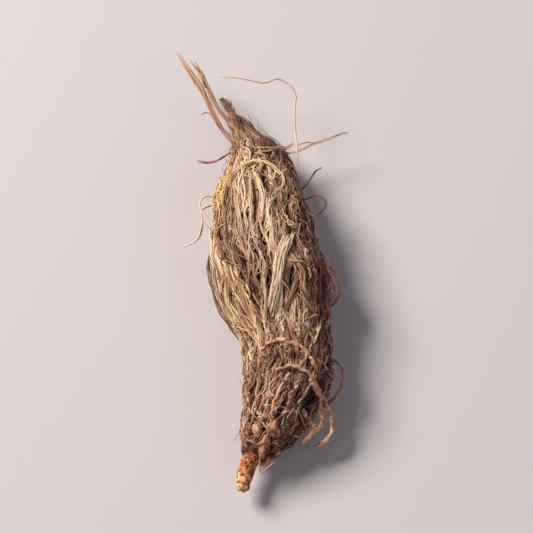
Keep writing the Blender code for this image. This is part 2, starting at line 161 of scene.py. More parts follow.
def noiseSheet(scale, shift, size):
    # smooth noise over the sheath, a row for each millimetre along it and a column for each 5 degrees round it
    sheet = np.empty((int(root["length"]) + 2, 72))
    for distance, step in np.ndindex(sheet.shape):
        angle = math.tau * step / sheet.shape[1]
        across = math.sin(angle) * scale + shift[0], math.cos(angle) * scale + shift[1]
        sheet[distance, step] = noise.noise(Vector((*across, distance / size)))
    return sheet


def sunk(halfWidth):
    # the mat's depth, less where the root is thin
    return root["matDepth"] * np.minimum(1, halfWidth / (0.35 * root["belly"]))


def readSheet(sheet, distance, angle):
    # a sheet's value between its four nearest numbers
    row = np.clip(distance, 0, sheet.shape[0] - 1.001)
    column = (angle / math.tau % 1) * sheet.shape[1]
    r, c = row.astype(int), column.astype(int) % sheet.shape[1]
    right = (c + 1) % sheet.shape[1]
    fr, fc = row - r, column - column.astype(int)
    lower = sheet[r, c] * (1 - fc) + sheet[r, right] * fc
    upper = sheet[r + 1, c] * (1 - fc) + sheet[r + 1, right] * fc
    return lower * (1 - fr) + upper * fr


wanderSheet = noiseSheet(1.4, (0, 0), 14)
lumpSheet = noiseSheet(1.6, (5, 2), root["lumpSize"])
tintSheet = noiseSheet(2.2, (9, 4), 6)
streakSheet = noiseSheet(7.0, (1, 7), 9)


def near(value, centre, reach):
    return np.exp(-(((value - centre) / reach) ** 2))


def wrapped(angle):
    return (angle + math.pi) % math.tau - math.pi


def hollowAt(distance, angle):
    # how deep the hollows are at a place on the sheath
    halfWidth = section(distance)[2]
    depth = 0
    for place, turn, halfLength, halfAcross, deep in root["hollows"]:
        beside = wrapped(angle - turn) * halfWidth
        depth = depth + deep * near(distance, place, halfLength) * near(beside, 0, halfAcross)
    return depth


def relief(distance, angle):
    # how far the lumps and the bundles of fibre stand out of the smooth sheath, or lie in it
    along = distance / root["length"]
    wander = root["ridgeWander"] * readSheet(wanderSheet, distance, angle)
    phase = root["ridges"] * (angle + root["ridgeTurn"] * along) + wander
    ridge = root["ridgeHeight"] * (np.abs(np.sin(phase / 2)) - 0.7)
    lump = root["lumpHeight"] * readSheet(lumpSheet, distance, angle)
    fade = sunk(section(distance)[2]) / root["matDepth"]
    pressed = np.maximum(-np.cos(angle), 0) ** 6 * near(distance, root["restDistance"], root["restLength"])
    return fade * (1 - pressed) * (ridge + lump - hollowAt(distance, angle) - root["matDepth"])


def onSheath(distance, angle, lift):
    # points on the sheath, or above it. Angle 0 is the top and a quarter turn is +X
    shift, middle, halfWidth, halfHeight = section(distance)
    out = lift + relief(distance, angle)
    x = shift + (halfWidth + out) * np.sin(angle)
    z = middle + (halfHeight + out) * np.cos(angle)
    return np.stack([x, distance - root["restDistance"], z], -1)


def seenFromAbove(distance, side, lift):
    # the point of the sheath that shows at a sideways place, or the air beside it
    shift, middle, halfWidth, halfHeight = section(distance)
    depth = sunk(halfWidth)
    x = side - root["restSide"]
    across = (x - shift) / np.maximum(halfWidth - depth, 0.1)
    rise = (halfHeight - depth) * np.sqrt(np.maximum(1 - across**2, 0))
    return np.stack([x, distance - root["restDistance"], middle + rise + lift], -1)


def keepInside(paths, widths):
    # keeps strands above the surface that the root lies on, and inside the solid's box
    margin = widths[..., None] / 2 + root["clearance"]
    return np.clip(paths, lowCorner / mm + margin, highCorner / mm - margin)


# Materials

def linear(hexColour):
    # an sRGB hex value as the linear colour that a shader takes
    channels = [int(hexColour[i:i + 2], 16) / 255 for i in (1, 3, 5)]
    return (*(c / 12.92 if c <= 0.04045 else ((c + 0.055) / 1.055) ** 2.4 for c in channels), 1)


def addNode(tree, kind, settings=None, links=None):
    # one node, with its settings by name and its inputs linked from an output, or from a node's first output
    made = tree.nodes.new(kind)
    for name, value in (settings or {}).items():
        if name == "stops":
            while len(made.color_ramp.elements) < len(value):
                made.color_ramp.elements.new(0.5)
            for element, (place, colour) in zip(made.color_ramp.elements, value):
                element.position, element.color = place, linear(colour)
        elif isinstance(name, int) or name in made.inputs:
            made.inputs[name].default_value = value
        else:
            setattr(made, name, value)
    for name, source in (links or {}).items():
        tree.links.new(getattr(source, "outputs", [source])[0], made.inputs[name])
    return made


def newMaterial(name, settings):
    # a material with its shader's own settings, ready for its nodes
    material = bpy.data.materials.new(name)
    material.use_nodes = True
    tree = material.node_tree
    shader = tree.nodes["Principled BSDF"]
    for socket, value in settings.items():
        shader.inputs[socket].default_value = value
    return material, tree, shader


# Colour runs of the dried fibre, from the dark between strands to a strand in full light

fibreColours = {
    "straw": [
        (0.0, "#1B100B"), (0.25, "#563823"), (0.5, "#8F694C"), (0.75, "#C49E7B"), (0.95, "#E8CDAC"),
        (1.0, "#F1DABD"),
    ],
    "russet": [
        (0.0, "#170B0B"), (0.25, "#4A2520"), (0.5, "#80493B"), (0.75, "#B5775E"), (0.95, "#DCA98B"),
        (1.0, "#E7C8B2"),
    ],
    "ochre": [(0.0, "#201208"), (0.25, "#634221"), (0.5, "#A67A3F"), (0.75, "#D8AC62"), (1.0, "#F5DA9C")],
}


def leafBaseFibre():
    # Old leaf-base fibre: dull dry strands whose tone and hue change from strand to strand.
    # The piece's map holds the tone across and the hue up, so that each strand has its own.
    shine = {"Roughness": 0.58, "Specular IOR Level": 0.4, "Sheen Weight": 0.1, "Sheen Roughness": 0.5}
    material, tree, shader = newMaterial("leafBaseFibre", shine)
    place = addNode(tree, "ShaderNodeUVMap", {"uv_map": "OFBake"})
    split = addNode(tree, "ShaderNodeSeparateXYZ", {}, {"Vector": place})
    tone, hue = split.outputs["X"], split.outputs["Y"]
    runs = {
        name: addNode(tree, "ShaderNodeValToRGB", {"stops": stops}, {"Fac": tone})
        for name, stops in fibreColours.items()
    }
    toStraw = addNode(tree, "ShaderNodeMapRange", {"From Min": 0.08, "From Max": 0.3}, {"Value": hue})
    toRusset = addNode(tree, "ShaderNodeMapRange", {"From Min": 0.4, "From Max": 0.95}, {"Value": hue})
    yellows = {"Fac": toStraw, "Color1": runs["ochre"], "Color2": runs["straw"]}
    pale = addNode(tree, "ShaderNodeMixRGB", {}, yellows)
    colour = addNode(tree, "ShaderNodeMixRGB", {}, {"Fac": toRusset, "Color1": pale, "Color2": runs["russet"]})
    tree.links.new(colour.outputs["Color"], shader.inputs["Base Color"])
    return material


def rhizomeBark():
    # Dried rhizome bark: dark brown, fibrous along the root, with paler worn streaks. It shows in the gaps, near
    # black there partly as painted shade.
    streakWidth = 0.9 * mm
    material, tree, shader = newMaterial("rhizomeBark", {"Roughness": 0.85})
    place = addNode(tree, "ShaderNodeTexCoord").outputs["Object"]
    along = addNode(tree, "ShaderNodeMapping", {"Scale": (1, 0.12, 1)}, {"Vector": place})
    look = {"Scale": 1 / streakWidth, "Detail": 4.0, "Roughness": 0.6}
    streaks = addNode(tree, "ShaderNodeTexNoise", look, {"Vector": along}).outputs["Fac"]
    browns = [(0.3, "#140B08"), (0.5, "#2B1812"), (0.68, "#4C2F20"), (0.85, "#6E4A30")]
    colour = addNode(tree, "ShaderNodeValToRGB", {"stops": browns}, {"Fac": streaks})
    furrows = addNode(tree, "ShaderNodeBump", {"Strength": 0.8, "Distance": 0.4 * mm}, {"Height": streaks})
    tree.links.new(colour.outputs["Color"], shader.inputs["Base Color"])
    tree.links.new(furrows.outputs["Normal"], shader.inputs["Normal"])
    return material


def wornSkin(name, grainSize, stops):
    # Worn root skin: paler where "rubbed" is high and dark in the pits, with a fine grain over both. That
    # attribute holds wear, and on the broken end and the knobs painted light and shade
    material, tree, shader = newMaterial(name, {"Roughness": 0.7})
    place = addNode(tree, "ShaderNodeTexCoord").outputs["Object"]
    look = {"Scale": 1 / (grainSize * mm), "Detail": 5.0, "Roughness": 0.65}
    grain = addNode(tree, "ShaderNodeTexNoise", look, {"Vector": place}).outputs["Fac"]
    rubbed = addNode(tree, "ShaderNodeAttribute", {"attribute_name": "rubbed"}).outputs["Fac"]
    speckle = addNode(tree, "ShaderNodeMath", {"operation": "MULTIPLY_ADD", 1: 0.9, 2: -0.3}, {0: grain})
    tone = addNode(tree, "ShaderNodeMath", {"operation": "MULTIPLY_ADD", 1: 0.65}, {0: rubbed, 2: speckle})
    colour = addNode(tree, "ShaderNodeValToRGB", {"stops": stops}, {"Fac": tone})
    pits = addNode(tree, "ShaderNodeBump", {"Strength": 0.6, "Distance": 0.25 * mm}, {"Height": grain})
    tree.links.new(colour.outputs["Color"], shader.inputs["Base Color"])
    tree.links.new(pits.outputs["Normal"], shader.inputs["Normal"])
    return material


fibreMaterial = leafBaseFibre()
barkMaterial = rhizomeBark()
# worn root wood of the broken end: red brown, then orange, then cream where it is worn through, and darker on its
# right side as painted shade
woodMaterial = wornSkin("wornRootWood", 0.9, [
    (0.1, "#1C0D0B"), (0.3, "#54281D"), (0.46, "#84462D"), (0.61, "#B96D3C"), (0.76, "#D99B63"), (0.98, "#EFDCB4"),
])
# the stumps of old leaf bases at the collar: brown with a red cast, pale and pinkish where they are worn, with a
# painted highlight on their left and painted shade on their right
stumpMaterial = wornSkin("wornLeafBase", 0.7, [
    (0.05, "#1A0C0A"), (0.25, "#4B281F"), (0.4, "#7A4938"), (0.55, "#AC6F50"), (0.7, "#D29A74"), (0.92, "#EDCBA4"),
])
# the dry skin of a side root: tan with brown wrinkles
sideRootMaterial = wornSkin("sideRootSkin", 0.5, [
    (0.05, "#24110C"), (0.25, "#6A3A2A"), (0.45, "#AA6F50"), (0.65, "#DAA37C"), (0.9, "#F6DABA"),
])
print("materials made")


# Tools that the pieces share

fibre = {
    "sides": 4, "thinning": 0.55, "ragged": (0, 3), "weld": 0.001, "mapInset": 0.004, "mapEdge": 0.005,
    "ownHue": 0.13, "darkest": 0.02,
}


def addObject(name, data):
    made = bpy.data.objects.new(name, data)
    bpy.context.scene.collection.objects.link(made)
    return made


def meshObject(bm, name, material):
    data = bpy.data.meshes.new(name)
    bm.to_mesh(data)
    bm.free()
    data.materials.append(material)
    return addObject(name, data)


def finishPiece(bm, name, material):
    # a piece from its finished bmesh, riding on the root
    piece = meshObject(bm, name, material)
    piece.data.shade_smooth()
    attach(piece, "root")
    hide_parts("spikenard_root")


def strandMesh(name, paths, widths, sides):
    # strands along paths, pointed at both ends, from one bevelled curve
    count, stops = widths.shape
    widths = widths.copy()
    paths = keepInside(paths, widths)
    widths[:, 0] = widths[:, -1] = 0
    curve = bpy.data.curves.new(name, "CURVE")
    curve.dimensions = "3D"
    curve.bevel_depth = 1
    curve.bevel_resolution = sides // 2 - 2
    places = np.ones((count, stops, 4))
    places[..., :3] = paths * mm
    radii = widths / 2 * mm
    for i in range(count):
        line = curve.splines.new("POLY")
        line.points.add(stops - 1)
        line.points.foreach_set("co", places[i].ravel())
        line.points.foreach_set("radius", radii[i])
    guide = addObject(name, curve)
    bpy.context.view_layer.update()
    data = bpy.data.meshes.new_from_object(guide.evaluated_get(bpy.context.evaluated_depsgraph_get()))
    bpy.data.objects.remove(guide)
    return data


def welded(data):
    # a bmesh from the strands' mesh, whose pointed tips are joined
    bm = bmesh.new()
    bm.from_mesh(data)
    bpy.data.meshes.remove(data)
    bmesh.ops.remove_doubles(bm, verts=bm.verts, dist=fibre["weld"] * mm)
    return bm


def fibrePiece(name, paths, widths, tones, hues):
    # strands with each one's tone and hue in their map
    data = strandMesh(name, paths, widths, fibre["sides"])
    # each ring's corners sit a little apart on the map, so that no face is a line there
    corner = np.array([(-1, -1), (1, -1), (1, 1), (-1, 1)]) * fibre["mapInset"]
    spots = np.stack([tones, np.broadcast_to(hues, tones.shape)], -1)[:, :, None, :] + corner
    spots = np.clip(spots, fibre["mapEdge"], 1 - fibre["mapEdge"]).reshape(-1, 2)
    vertexOf = np.empty(len(data.loops), int)
    data.loops.foreach_get("vertex_index", vertexOf)
    data.uv_layers[0].name = "OFBake"
    data.uv_layers[0].uv.foreach_set("vector", spots[vertexOf].ravel().astype(np.float32))
    finishPiece(welded(data), name, fibreMaterial)
    print(name, "made,", len(paths), "strands")


def between(ends, share):
    return ends[0] + share * (ends[1] - ends[0])


def drawn(ends, count):
    # a number drawn between two ends for each strand, as a column
    return rng.uniform(*ends, (count, 1))


def scattered(settings, seed):
    # evenly scattered places on the sheath: a column of distances along it and one of angles round it
    steps = np.arange(settings["count"])[:, None] * (0.7548776662, 0.5698402910) + (seed * 0.317, seed * 0.731)
    around = settings.get("around", (0, math.tau))
    return between(settings["along"], steps[:, :1] % 1), between(around, steps[:, 1:] % 1)


def planned(settings, seed):
    # what most covers start from: how many strands and stops, their places, their lengths and the shares along one
    count, stops = settings["count"], settings["stops"]
    middle, start = scattered(settings, seed)
    return count, stops, middle, start, drawn(settings["length"], count), np.linspace(0, 1, stops)


def wiggle(count, stops, waves):
    # a smooth random sway along each strand, about 1 high, with a number of waves from end to end
    share = np.linspace(0, 1, stops)
    sway = np.zeros((count, stops))
    for strength, times in ((0.7, 1.0), (0.45, 1.9), (0.3, 3.3)):
        phase = rng.uniform(0, math.tau, (count, 1))
        pace = waves * times * rng.uniform(0.8, 1.2, (count, 1))
        sway += strength * np.sin(math.tau * pace * share + phase)
    return sway


def endward(stops, stretch):
    # 1 at both ends of a strand and 0 between them, with a stretch of its length to change over
    share = np.linspace(0, 1, stops)
    return 1 - np.clip(np.minimum(share, 1 - share) / stretch, 0, 1)


def taper(stops, bluntness=0.12):
    # a strand's width along it: nearly even, and thinner just before both ends
    return 1 - fibre["thinning"] * endward(stops, bluntness)


def within(distance, low, high):
    # the same strands, moved along the root where they would run past its ends, which stay ragged
    low = low + drawn(fibre["ragged"], len(distance))
    high = high - drawn(fibre["ragged"], len(distance))
    distance = distance + np.maximum(low - distance.min(1, keepdims=True), 0)
    return distance - np.maximum(distance.max(1, keepdims=True) - high, 0)


def trimmed(values, begin, end):
    # the same lines, each cut to the stretch between two shares of its length
    stops = values.shape[1]
    at = (begin + (end - begin) * np.linspace(0, 1, stops)) * (stops - 1)
    low = np.clip(at.astype(int), 0, stops - 2)
    part = at - low
    rows = np.arange(len(values))[:, None]
    if values.ndim == 3:
        part = part[..., None]
    return values[rows, low] * (1 - part) + values[rows, low + 1] * part


def acrossOne(distance, angle):
    # millimetres round the sheath for one radian there
    halfWidth, halfHeight = section(distance)[2:]
    return np.maximum(np.sqrt((halfWidth * np.cos(angle)) ** 2 + (halfHeight * np.sin(angle)) ** 2), 1.5)


def swayed(settings, distance, angle):
    # the same angles with each strand's own sway, so many millimetres and so many waves
    strength, waves = settings["sway"]
    return angle + strength * wiggle(*distance.shape, waves) / acrossOne(distance, angle)


def lifted(settings, count, stops, copies=1):
    # how high each strand lies, with its own unevenness, and its ends dipped into the mat
    own = np.repeat(drawn(settings["lift"], count), copies, 0)
    strength, waves = settings["uneven"]
    depth, stretch = settings.get("dip", (0, 1))
    return own + strength * wiggle(len(own), stops, waves) - depth * endward(stops, stretch)


# Patches where the fibre's hue or tone changes: how much, then the distance where it is strongest and its reach
# along the root, and the angle and its reach round it

huePatches = [
    (0.12, 18, 9, -1.1, 0.5), (0.3, 40, 9, 1.2, 0.5), (-0.35, 59, 3.5, -1.15, 0.25), (-0.1, 34, 7, -1.1, 0.5),
]
tonePatches = [
    (0.09, 52, 18, 0.1, 0.6), (0.09, 60, 8, -0.5, 0.6), (-0.15, 42, 9, -0.8, 0.6), (-0.08, 20, 10, -1.2, 0.5),
]


def patched(patches, distance, turn):
    total = 0
    for change, place, along, side, around in patches:
        total = total + change * near(distance, place, along) * near(turn, side, around)
    return total


def rising(value, reach):
    # from 0 where the value is 0 to 1 where it is the reach
    return np.clip(value / reach, 0, 1)


def hueAt(distance, angle):
    # where the fibre is straw, where it turns russet, and the yellow patch on the upper left shoulder
    turn = wrapped(angle)
    hue = 0.5 + 0.2 * np.clip(turn / 1.4, -0.5, 1) + patched(huePatches, distance, turn)
    hue += 0.24 * rising(30 - distance, 20) + 0.12 * rising(distance - 64, 8)
    hue += 0.15 * rising(np.abs(turn) - 1.5, 1.2)
    return hue + 0.3 * readSheet(tintSheet, distance, angle)


def toneAt(distance, angle):
    # broad light and dark: paler on the crest, darker round the collar and at the neck, painted shade on the
    # underside and in the hollows, and partly painted shade to the right
    turn = wrapped(angle)
    tone = 0.54 + patched(tonePatches, distance, turn)
    tone -= 0.16 * near(turn, 1.25, 0.65) + 0.1 * near(distance, 16, 11)
    tone -= 0.18 * rising(distance - 65, 6) + 0.08 * rising(np.abs(turn) - 1.6, 1.2)
    return tone - 0.34 * hollowAt(distance, angle) + 0.55 * readSheet(streakSheet, distance, angle)


def offCollar(distance, angle):
    # the same strands, moved up the root where they would cover the bare knobs of the collar
    edge = root["bareCollar"] * near(wrapped(angle.mean(1, keepdims=True)), *root["bareTurn"]) + root["stub"]
    edge = edge + rng.uniform(0, 1.6, edge.shape)
    return distance + np.maximum(edge - distance.min(1, keepdims=True), 0)


def layOnSheath(name, settings, distance, angle, lift, shade=0.0, thicker=1.0):
    # strands from their distance, angle and lift at each stop, coloured by where they lie and with painted shade
    # by how deep they lie
    count, stops = distance.shape
    widths = drawn(settings["width"], count) * thicker * taper(stops, settings.get("bluntness", 0.12))
    distance = offCollar(distance, angle)
    toneShift, hueShift = settings.get("toneShift", 0.0) + shade, settings.get("hueShift", 0.0)
    tones = toneAt(distance, angle) + rng.normal(toneShift, settings.get("ownTone", 0.12), (count, 1))
    # painted shade: darker the deeper they lie and paler the higher, up to a point, and most of all low on the
    # root
    tones += (0.36 + 0.14 * near(distance, 18, 9)) * np.minimum(lift, 0.3) + 0.05 * wiggle(count, stops, 1.5)
    hues = (hueAt(distance, angle) + rng.normal(hueShift, fibre["ownHue"], (count, 1)))[:, stops // 2, None]
    fibrePiece(name, onSheath(distance, angle, lift), widths, np.maximum(tones, fibre["darkest"]), hues)


# The mat under the strands: the rhizome's dark fibrous surface, which shows wherever the strands part, near black
# there partly as painted shade

underMat = {"around": 160, "along": 120, "depth": 1.5, "furrows": 34, "furrowDepth": 0.25, "lowest": 0.02}


def makeUnderMat():
    bm = bmesh.new()
    bmesh.ops.create_uvsphere(bm, u_segments=underMat["around"], v_segments=underMat["along"], radius=1)
    spot = np.array([vertex.co[:] for vertex in bm.verts])
    share = 1 - np.arccos(np.clip(spot[:, 2], -1, 1)) / math.pi
    distance = root["stub"] + share * (root["length"] - root["stub"])
    angle = np.arctan2(spot[:, 1], spot[:, 0])
    depth = np.minimum(underMat["depth"], 0.45 * section(distance)[2])
    furrow = np.abs(np.sin(underMat["furrows"] * angle + 6 * readSheet(wanderSheet, distance, angle)))
    places = onSheath(distance, angle, underMat["furrowDepth"] * furrow - depth)
    places[:, 2] = np.maximum(places[:, 2], underMat["lowest"])
    for vertex, place in zip(bm.verts, places):
        vertex.co = place * mm
    finishPiece(bm, "underMat", barkMaterial)


makeUnderMat()
print("under mat made")


# Loose mat: single fibres lying lengthwise, the deepest, and darkest as painted shade

looseMat = {
    "count": 1700, "stops": 10, "along": (8, 77), "ends": (7.2, 78.6), "length": (9, 22), "width": (0.2, 0.36),
    "slope": 0.018, "sway": (0.4, 1.4), "lift": (-1.3, -0.35), "uneven": (0.15, 1.5), "toneShift": -0.1,
}


def makeLooseMat():
    count, stops, middle, start, length, share = planned(looseMat, 1)
    distance = within(middle - length / 2 + length * share, *looseMat["ends"])
    angle = start + rng.normal(0, looseMat["slope"], (count, 1)) * length * share
    angle = swayed(looseMat, distance, angle)
    layOnSheath("looseMat", looseMat, distance, angle, lifted(looseMat, count, stops))


makeLooseMat()


# Locks: bundles of fibre that twist together and part again, which leaves the long dark gaps between them

locks = {
    "count": 124, "children": 9, "stops": 20, "ends": (7.4, 72.5), "length": (13, 30), "width": (0.18, 0.44),
    "slope": 0.018, "radius": 0.52, "wave": 5.0, "lowWave": 2.4, "lift": (-0.7, 0.5), "uneven": (0.28, 1.1),
    "twist": (-2.8, 2.8), "ownShade": 0.1,
}


def makeLocks(name, along, seed):
    count, stops, middle, start, length, share = planned({**locks, "along": along}, seed)
    distance = middle - length / 2 + length * share
    angle = start + rng.normal(0, locks["slope"], (count, 1)) * length * (share - 0.5)
    bend = 0.6 * wiggle(count, stops, 0.9) + 0.2 * wiggle(count, stops, length / locks["wave"])
    bend += 0.34 * near(distance, 16, 10) * wiggle(count, stops, length / locks["lowWave"])
    angle += bend / acrossOne(distance, angle)
    lift = lifted(locks, count, stops)

    # every child keeps its own place in the bundle, turns with the twist and closes in where the bundle pinches
    pinch = np.abs(np.sin(math.pi * drawn((1, 2.6), count) * share + drawn((0, 3), count)))
    twist = drawn(locks["twist"], count) * share
    shade = rng.normal(0, locks["ownShade"], (count, 1)) + 0 * share
    bundle = (distance, angle, lift, 0.4 + 0.6 * pinch, twist, shade)
    distance, angle, lift, pinch, twist, shade = (np.repeat(values, locks["children"], 0) for values in bundle)
    count = len(distance)
    away = locks["radius"] * np.sqrt(drawn((0.05, 1), count)) * pinch
    phase = drawn((0, math.tau), count) + twist
    begin, end = drawn((0, 0.25), count), drawn((0.75, 1), count)
    bundle = (distance, angle, lift, away, phase)
    distance, angle, lift, away, phase = (trimmed(values, begin, end) for values in bundle)
    distance = within(distance, *locks["ends"])
    angle = angle + (away * np.cos(phase) + 0.1 * wiggle(count, stops, 3)) / acrossOne(distance, angle)
    lift = lift + 0.75 * away * np.sin(phase) + 0.06 * wiggle(count, stops, 3)
    layOnSheath(name, locks, distance, angle, lift, shade[:, :1])


makeLocks("lowerLocks", (12, 44), 2)
makeLocks("upperLocks", (40, 70), 3)


# Nets: sheets of parallel strands that touch their neighbours by turns, like the lattice that a leaf base leaves

nets = {
    "count": 92, "strands": 6, "stops": 20, "along": (12, 68), "ends": (9, 72), "length": (11, 24),
    "width": (0.24, 0.46), "gap": 0.92, "mesh": (4.5, 8), "slope": 0.015, "sway": (0.05, 0.8), "weave": (0.1, 3),
    "lift": (0, 0.55), "uneven": (0.12, 2), "dip": (0.9, 0.15), "toneShift": 0.16,
}


def plannedRows(settings, seed):
    # the same plan for rows of strands side by side
    count, stops, *places, share = planned(settings, seed)
    return (count, settings["strands"], stops, *(values[:, :, None] for values in places), share)


def rowCentre(settings, start, length, share):
    # the middle line of each row, which drifts and sways
    strength, waves = settings["sway"]
    count = len(start)
    centre = start + rng.normal(0, settings["slope"], (count, 1, 1)) * length * (share - 0.5)
    return centre + strength * wiggle(count, len(share), waves)[:, None, :]


def layRows(name, settings, distance, centre, off):
    # the strands of each row, so many millimetres beside its middle line
    count, strands, stops = off.shape
    strength, waves = settings["weave"]
    angle = np.broadcast_to(centre, off.shape).reshape(-1, stops)
    off = off.reshape(-1, stops) + strength * wiggle(len(angle), stops, waves)
    angle = angle + off / acrossOne(distance, angle)
    layOnSheath(name, settings, distance, angle, lifted(settings, count, stops, strands))


def makeNets():
    count, strands, stops, middle, start, length, share = plannedRows(nets, 4)
    distance = middle - length / 2 + length * share + rng.normal(0, 0.8, (count, strands, 1))
    distance = within(distance.reshape(-1, stops), *nets["ends"])
    centre = rowCentre(nets, start, length, share)
    order = np.arange(strands)[None, :, None] - (strands - 1) / 2
    beats = length / drawn(nets["mesh"], count)[:, :, None]
    beat = np.clip(1.6 * np.sin(math.pi * beats * share + drawn((0, 6), count)[:, :, None]), -1, 1)
    beat = beat * np.where(np.arange(strands) % 2, 1, -1)[None, :, None]
    off = nets["gap"] * (order + 0.42 * beat) * drawn((0.75, 1.3), count)[:, :, None]
    layRows("fibreNets", nets, distance, centre, off)


makeNets()


# Crossing fibres: single strands that run aslant over the mat with their ends tucked in

crossing = {
    "count": 430, "stops": 15, "along": (10, 70), "ends": (8, 72), "length": (6, 16), "width": (0.16, 0.36),
    "lean": (0.25, 1.15), "bow": 1.2, "sway": (0.26, 2.6), "lift": (0.15, 0.7), "uneven": (0.15, 1.5),
    "dip": (1.2, 0.16), "toneShift": 0.1,
}


def makeCrossing():
    count, stops, middle, start, length, share = planned(crossing, 5)
    lean = rng.choice((-1, 1), (count, 1)) * drawn(crossing["lean"], count)
    bow = rng.normal(0, crossing["bow"], (count, 1)) * np.sin(math.pi * share)
    distance = within(middle + length * np.cos(lean) * (share - 0.5), *crossing["ends"])
    angle = start + (length * np.sin(lean) * (share - 0.5) + bow) / acrossOne(distance, start)
    angle = swayed(crossing, distance, angle)
    layOnSheath("crossingFibres", crossing, distance, angle, lifted(crossing, count, stops))


makeCrossing()


# Curled fibres: a tangle low on the root, over the bulge on its right and where the net ends at the neck

curls = {
    "places": [
        {"count": 680, "along": (9, 30)},
        {"count": 240, "along": (34, 49), "around": (0.7, 1.8)},
        {"count": 36, "along": (65, 70), "around": (-1.2, 0.2)},
    ],
    "stops": 17, "ends": (7.6, 74), "length": (2, 7), "width": (0.2, 0.46), "size": (0.35, 1.0),
    "turns": (0.6, 1.8), "lift": (0.05, 1.0), "uneven": (0.25, 1.8), "dip": (1.1, 0.12), "ownTone": 0.16,
    "toneShift": 0.09,
}


def makeCurls():
    spots = [np.hstack(scattered(place, 6 + number / 3)) for number, place in enumerate(curls["places"])]
    middle, start = np.concatenate(spots).T[:, :, None]
    count, stops = len(middle), curls["stops"]
    share = np.linspace(0, 1, stops)
    length = drawn(curls["length"], count)
    turns = drawn(curls["turns"], count) * rng.choice((-1, 1), (count, 1))
    swing = math.tau * turns * share + drawn((0, math.tau), count)
    # long and nearly straight from the middle down to the lower cross and on the left, and curled below that
    straight = np.maximum(near(middle, 36, 15), near(wrapped(start), -0.9, 0.6) * near(middle, 23, 9))
    size = drawn(curls["size"], count) * (1 - 0.65 * straight)
    length = length * (1 + 0.7 * straight)
    distance = within(middle + length * (share - 0.5) + size * np.sin(swing), *curls["ends"])
    off = size * np.cos(swing) + rng.normal(0, 1.8, (count, 1)) * share + 0.12 * wiggle(count, stops, 3)
    angle = start + off / acrossOne(distance, start)
    lift = lifted(curls, count, stops)
    layOnSheath("curledFibres", curls, distance, angle, lift, thicker=1 + 0.35 * near(middle, 19, 9))


makeCurls()


# Leaf strips: flat straps of old leaf base, each a row of strands that still hold together

strips = {
    "count": 24, "strands": 4, "stops": 14, "along": (30, 64), "around": (-math.pi, math.pi), "length": (6, 14),
    "width": (0.28, 0.36), "pitch": 0.25, "slope": 0.012, "sway": (0.04, 0.9), "weave": (0.09, 1.8),
    "lift": (0.2, 0.7), "uneven": (0.04, 1), "dip": (0.9, 0.12), "ownTone": 0.1, "toneShift": 0.14,
    "hueShift": -0.04,
}


def makeStrips():
    count, strands, stops, middle, start, length, share = plannedRows(strips, 8)
    distance = middle + length * (share - 0.5) * rng.uniform(0.8, 1, (count, strands, 1))
    order = np.arange(strands)[None, :, None] - (strands - 1) / 2
    off = np.broadcast_to(order * strips["pitch"], distance.shape)
    centre = rowCentre(strips, start, length, share)
    layRows("leafStrips", strips, distance.reshape(-1, stops), centre, off)


makeStrips()


# Collar fibres: the few short ones that cross the knobs and the dark between them

collarFibres = {
    "count": 80, "stops": 12, "along": (7.2, 13), "around": (-1.7, 1.3), "lowest": 6.7, "length": (1.5, 5),
    "width": (0.16, 0.36), "lift": (0.2, 1.2), "uneven": (0.2, 1.5), "dip": (1.2, 0.3), "ownTone": 0.14,
    "toneShift": 0.08, "ownHue": 0.1,
}


def makeCollarFibres():
    count, stops, middle, start, length, share = planned(collarFibres, 12)
    lean = rng.normal(0, 0.6, (count, 1))
    distance = middle + length * np.cos(lean) * (share - 0.5)
    distance = np.maximum(distance + 0.2 * wiggle(count, stops, 1.5), collarFibres["lowest"])
    off = length * np.sin(lean) * (share - 0.5) + 0.3 * wiggle(count, stops, 1.2)
    angle = start + off / acrossOne(distance, start)
    lift = lifted(collarFibres, count, stops)
    widths = drawn(collarFibres["width"], count) * taper(stops)
    tones = toneAt(distance, angle) + rng.normal(collarFibres["toneShift"], collarFibres["ownTone"], (count, 1))
    hues = (hueAt(distance, angle) + rng.normal(0, collarFibres["ownHue"], (count, 1)))[:, :1]
    paths = onSheath(distance, angle, lift)
    fibrePiece("collarFibres", paths, widths, np.maximum(tones, fibre["darkest"]), hues)


makeCollarFibres()


# Loose loops: thin fibres that stand off the mat in the middle and dive back into it

looseLoops = {
    "count": 120, "stops": 18, "along": (11, 67), "ends": (8, 71), "length": (3, 8), "width": (0.14, 0.28),
    "lean": (-1.3, 1.3), "bow": 1.3, "sway": (0.28, 2.4), "height": (0.4, 1.8), "sunk": 0.4, "toneShift": 0.12,
}


def makeLooseLoops():
    count, stops, middle, start, length, share = planned(looseLoops, 9)
    lean = drawn(looseLoops["lean"], count)
    distance = within(middle + length * np.cos(lean) * (share - 0.5), *looseLoops["ends"])
    bow = rng.normal(0, looseLoops["bow"], (count, 1)) * np.sin(math.pi * share)
    angle = start + (length * np.sin(lean) * (share - 0.5) + bow) / acrossOne(distance, start)
    angle = swayed(looseLoops, distance, angle)
    height = drawn(looseLoops["height"], count) * np.sin(math.pi * share) ** 0.8 - looseLoops["sunk"]
    layOnSheath("looseLoops", looseLoops, distance, angle, height + 0.12 * wiggle(count, stops, 2))


makeLooseLoops()


# Flyaway hairs: thin fibres with free tips all over the outline

flyaways = {
    "count": 560, "stops": 11, "along": (9, 75), "length": (4, 11), "width": (0.09, 0.2), "bluntness": 0.4,
    "reach": (5, 82), "sway": (0.4, 1.3), "height": (2.0, 0.55), "sunk": 0.3, "toneShift": 0.1,
}


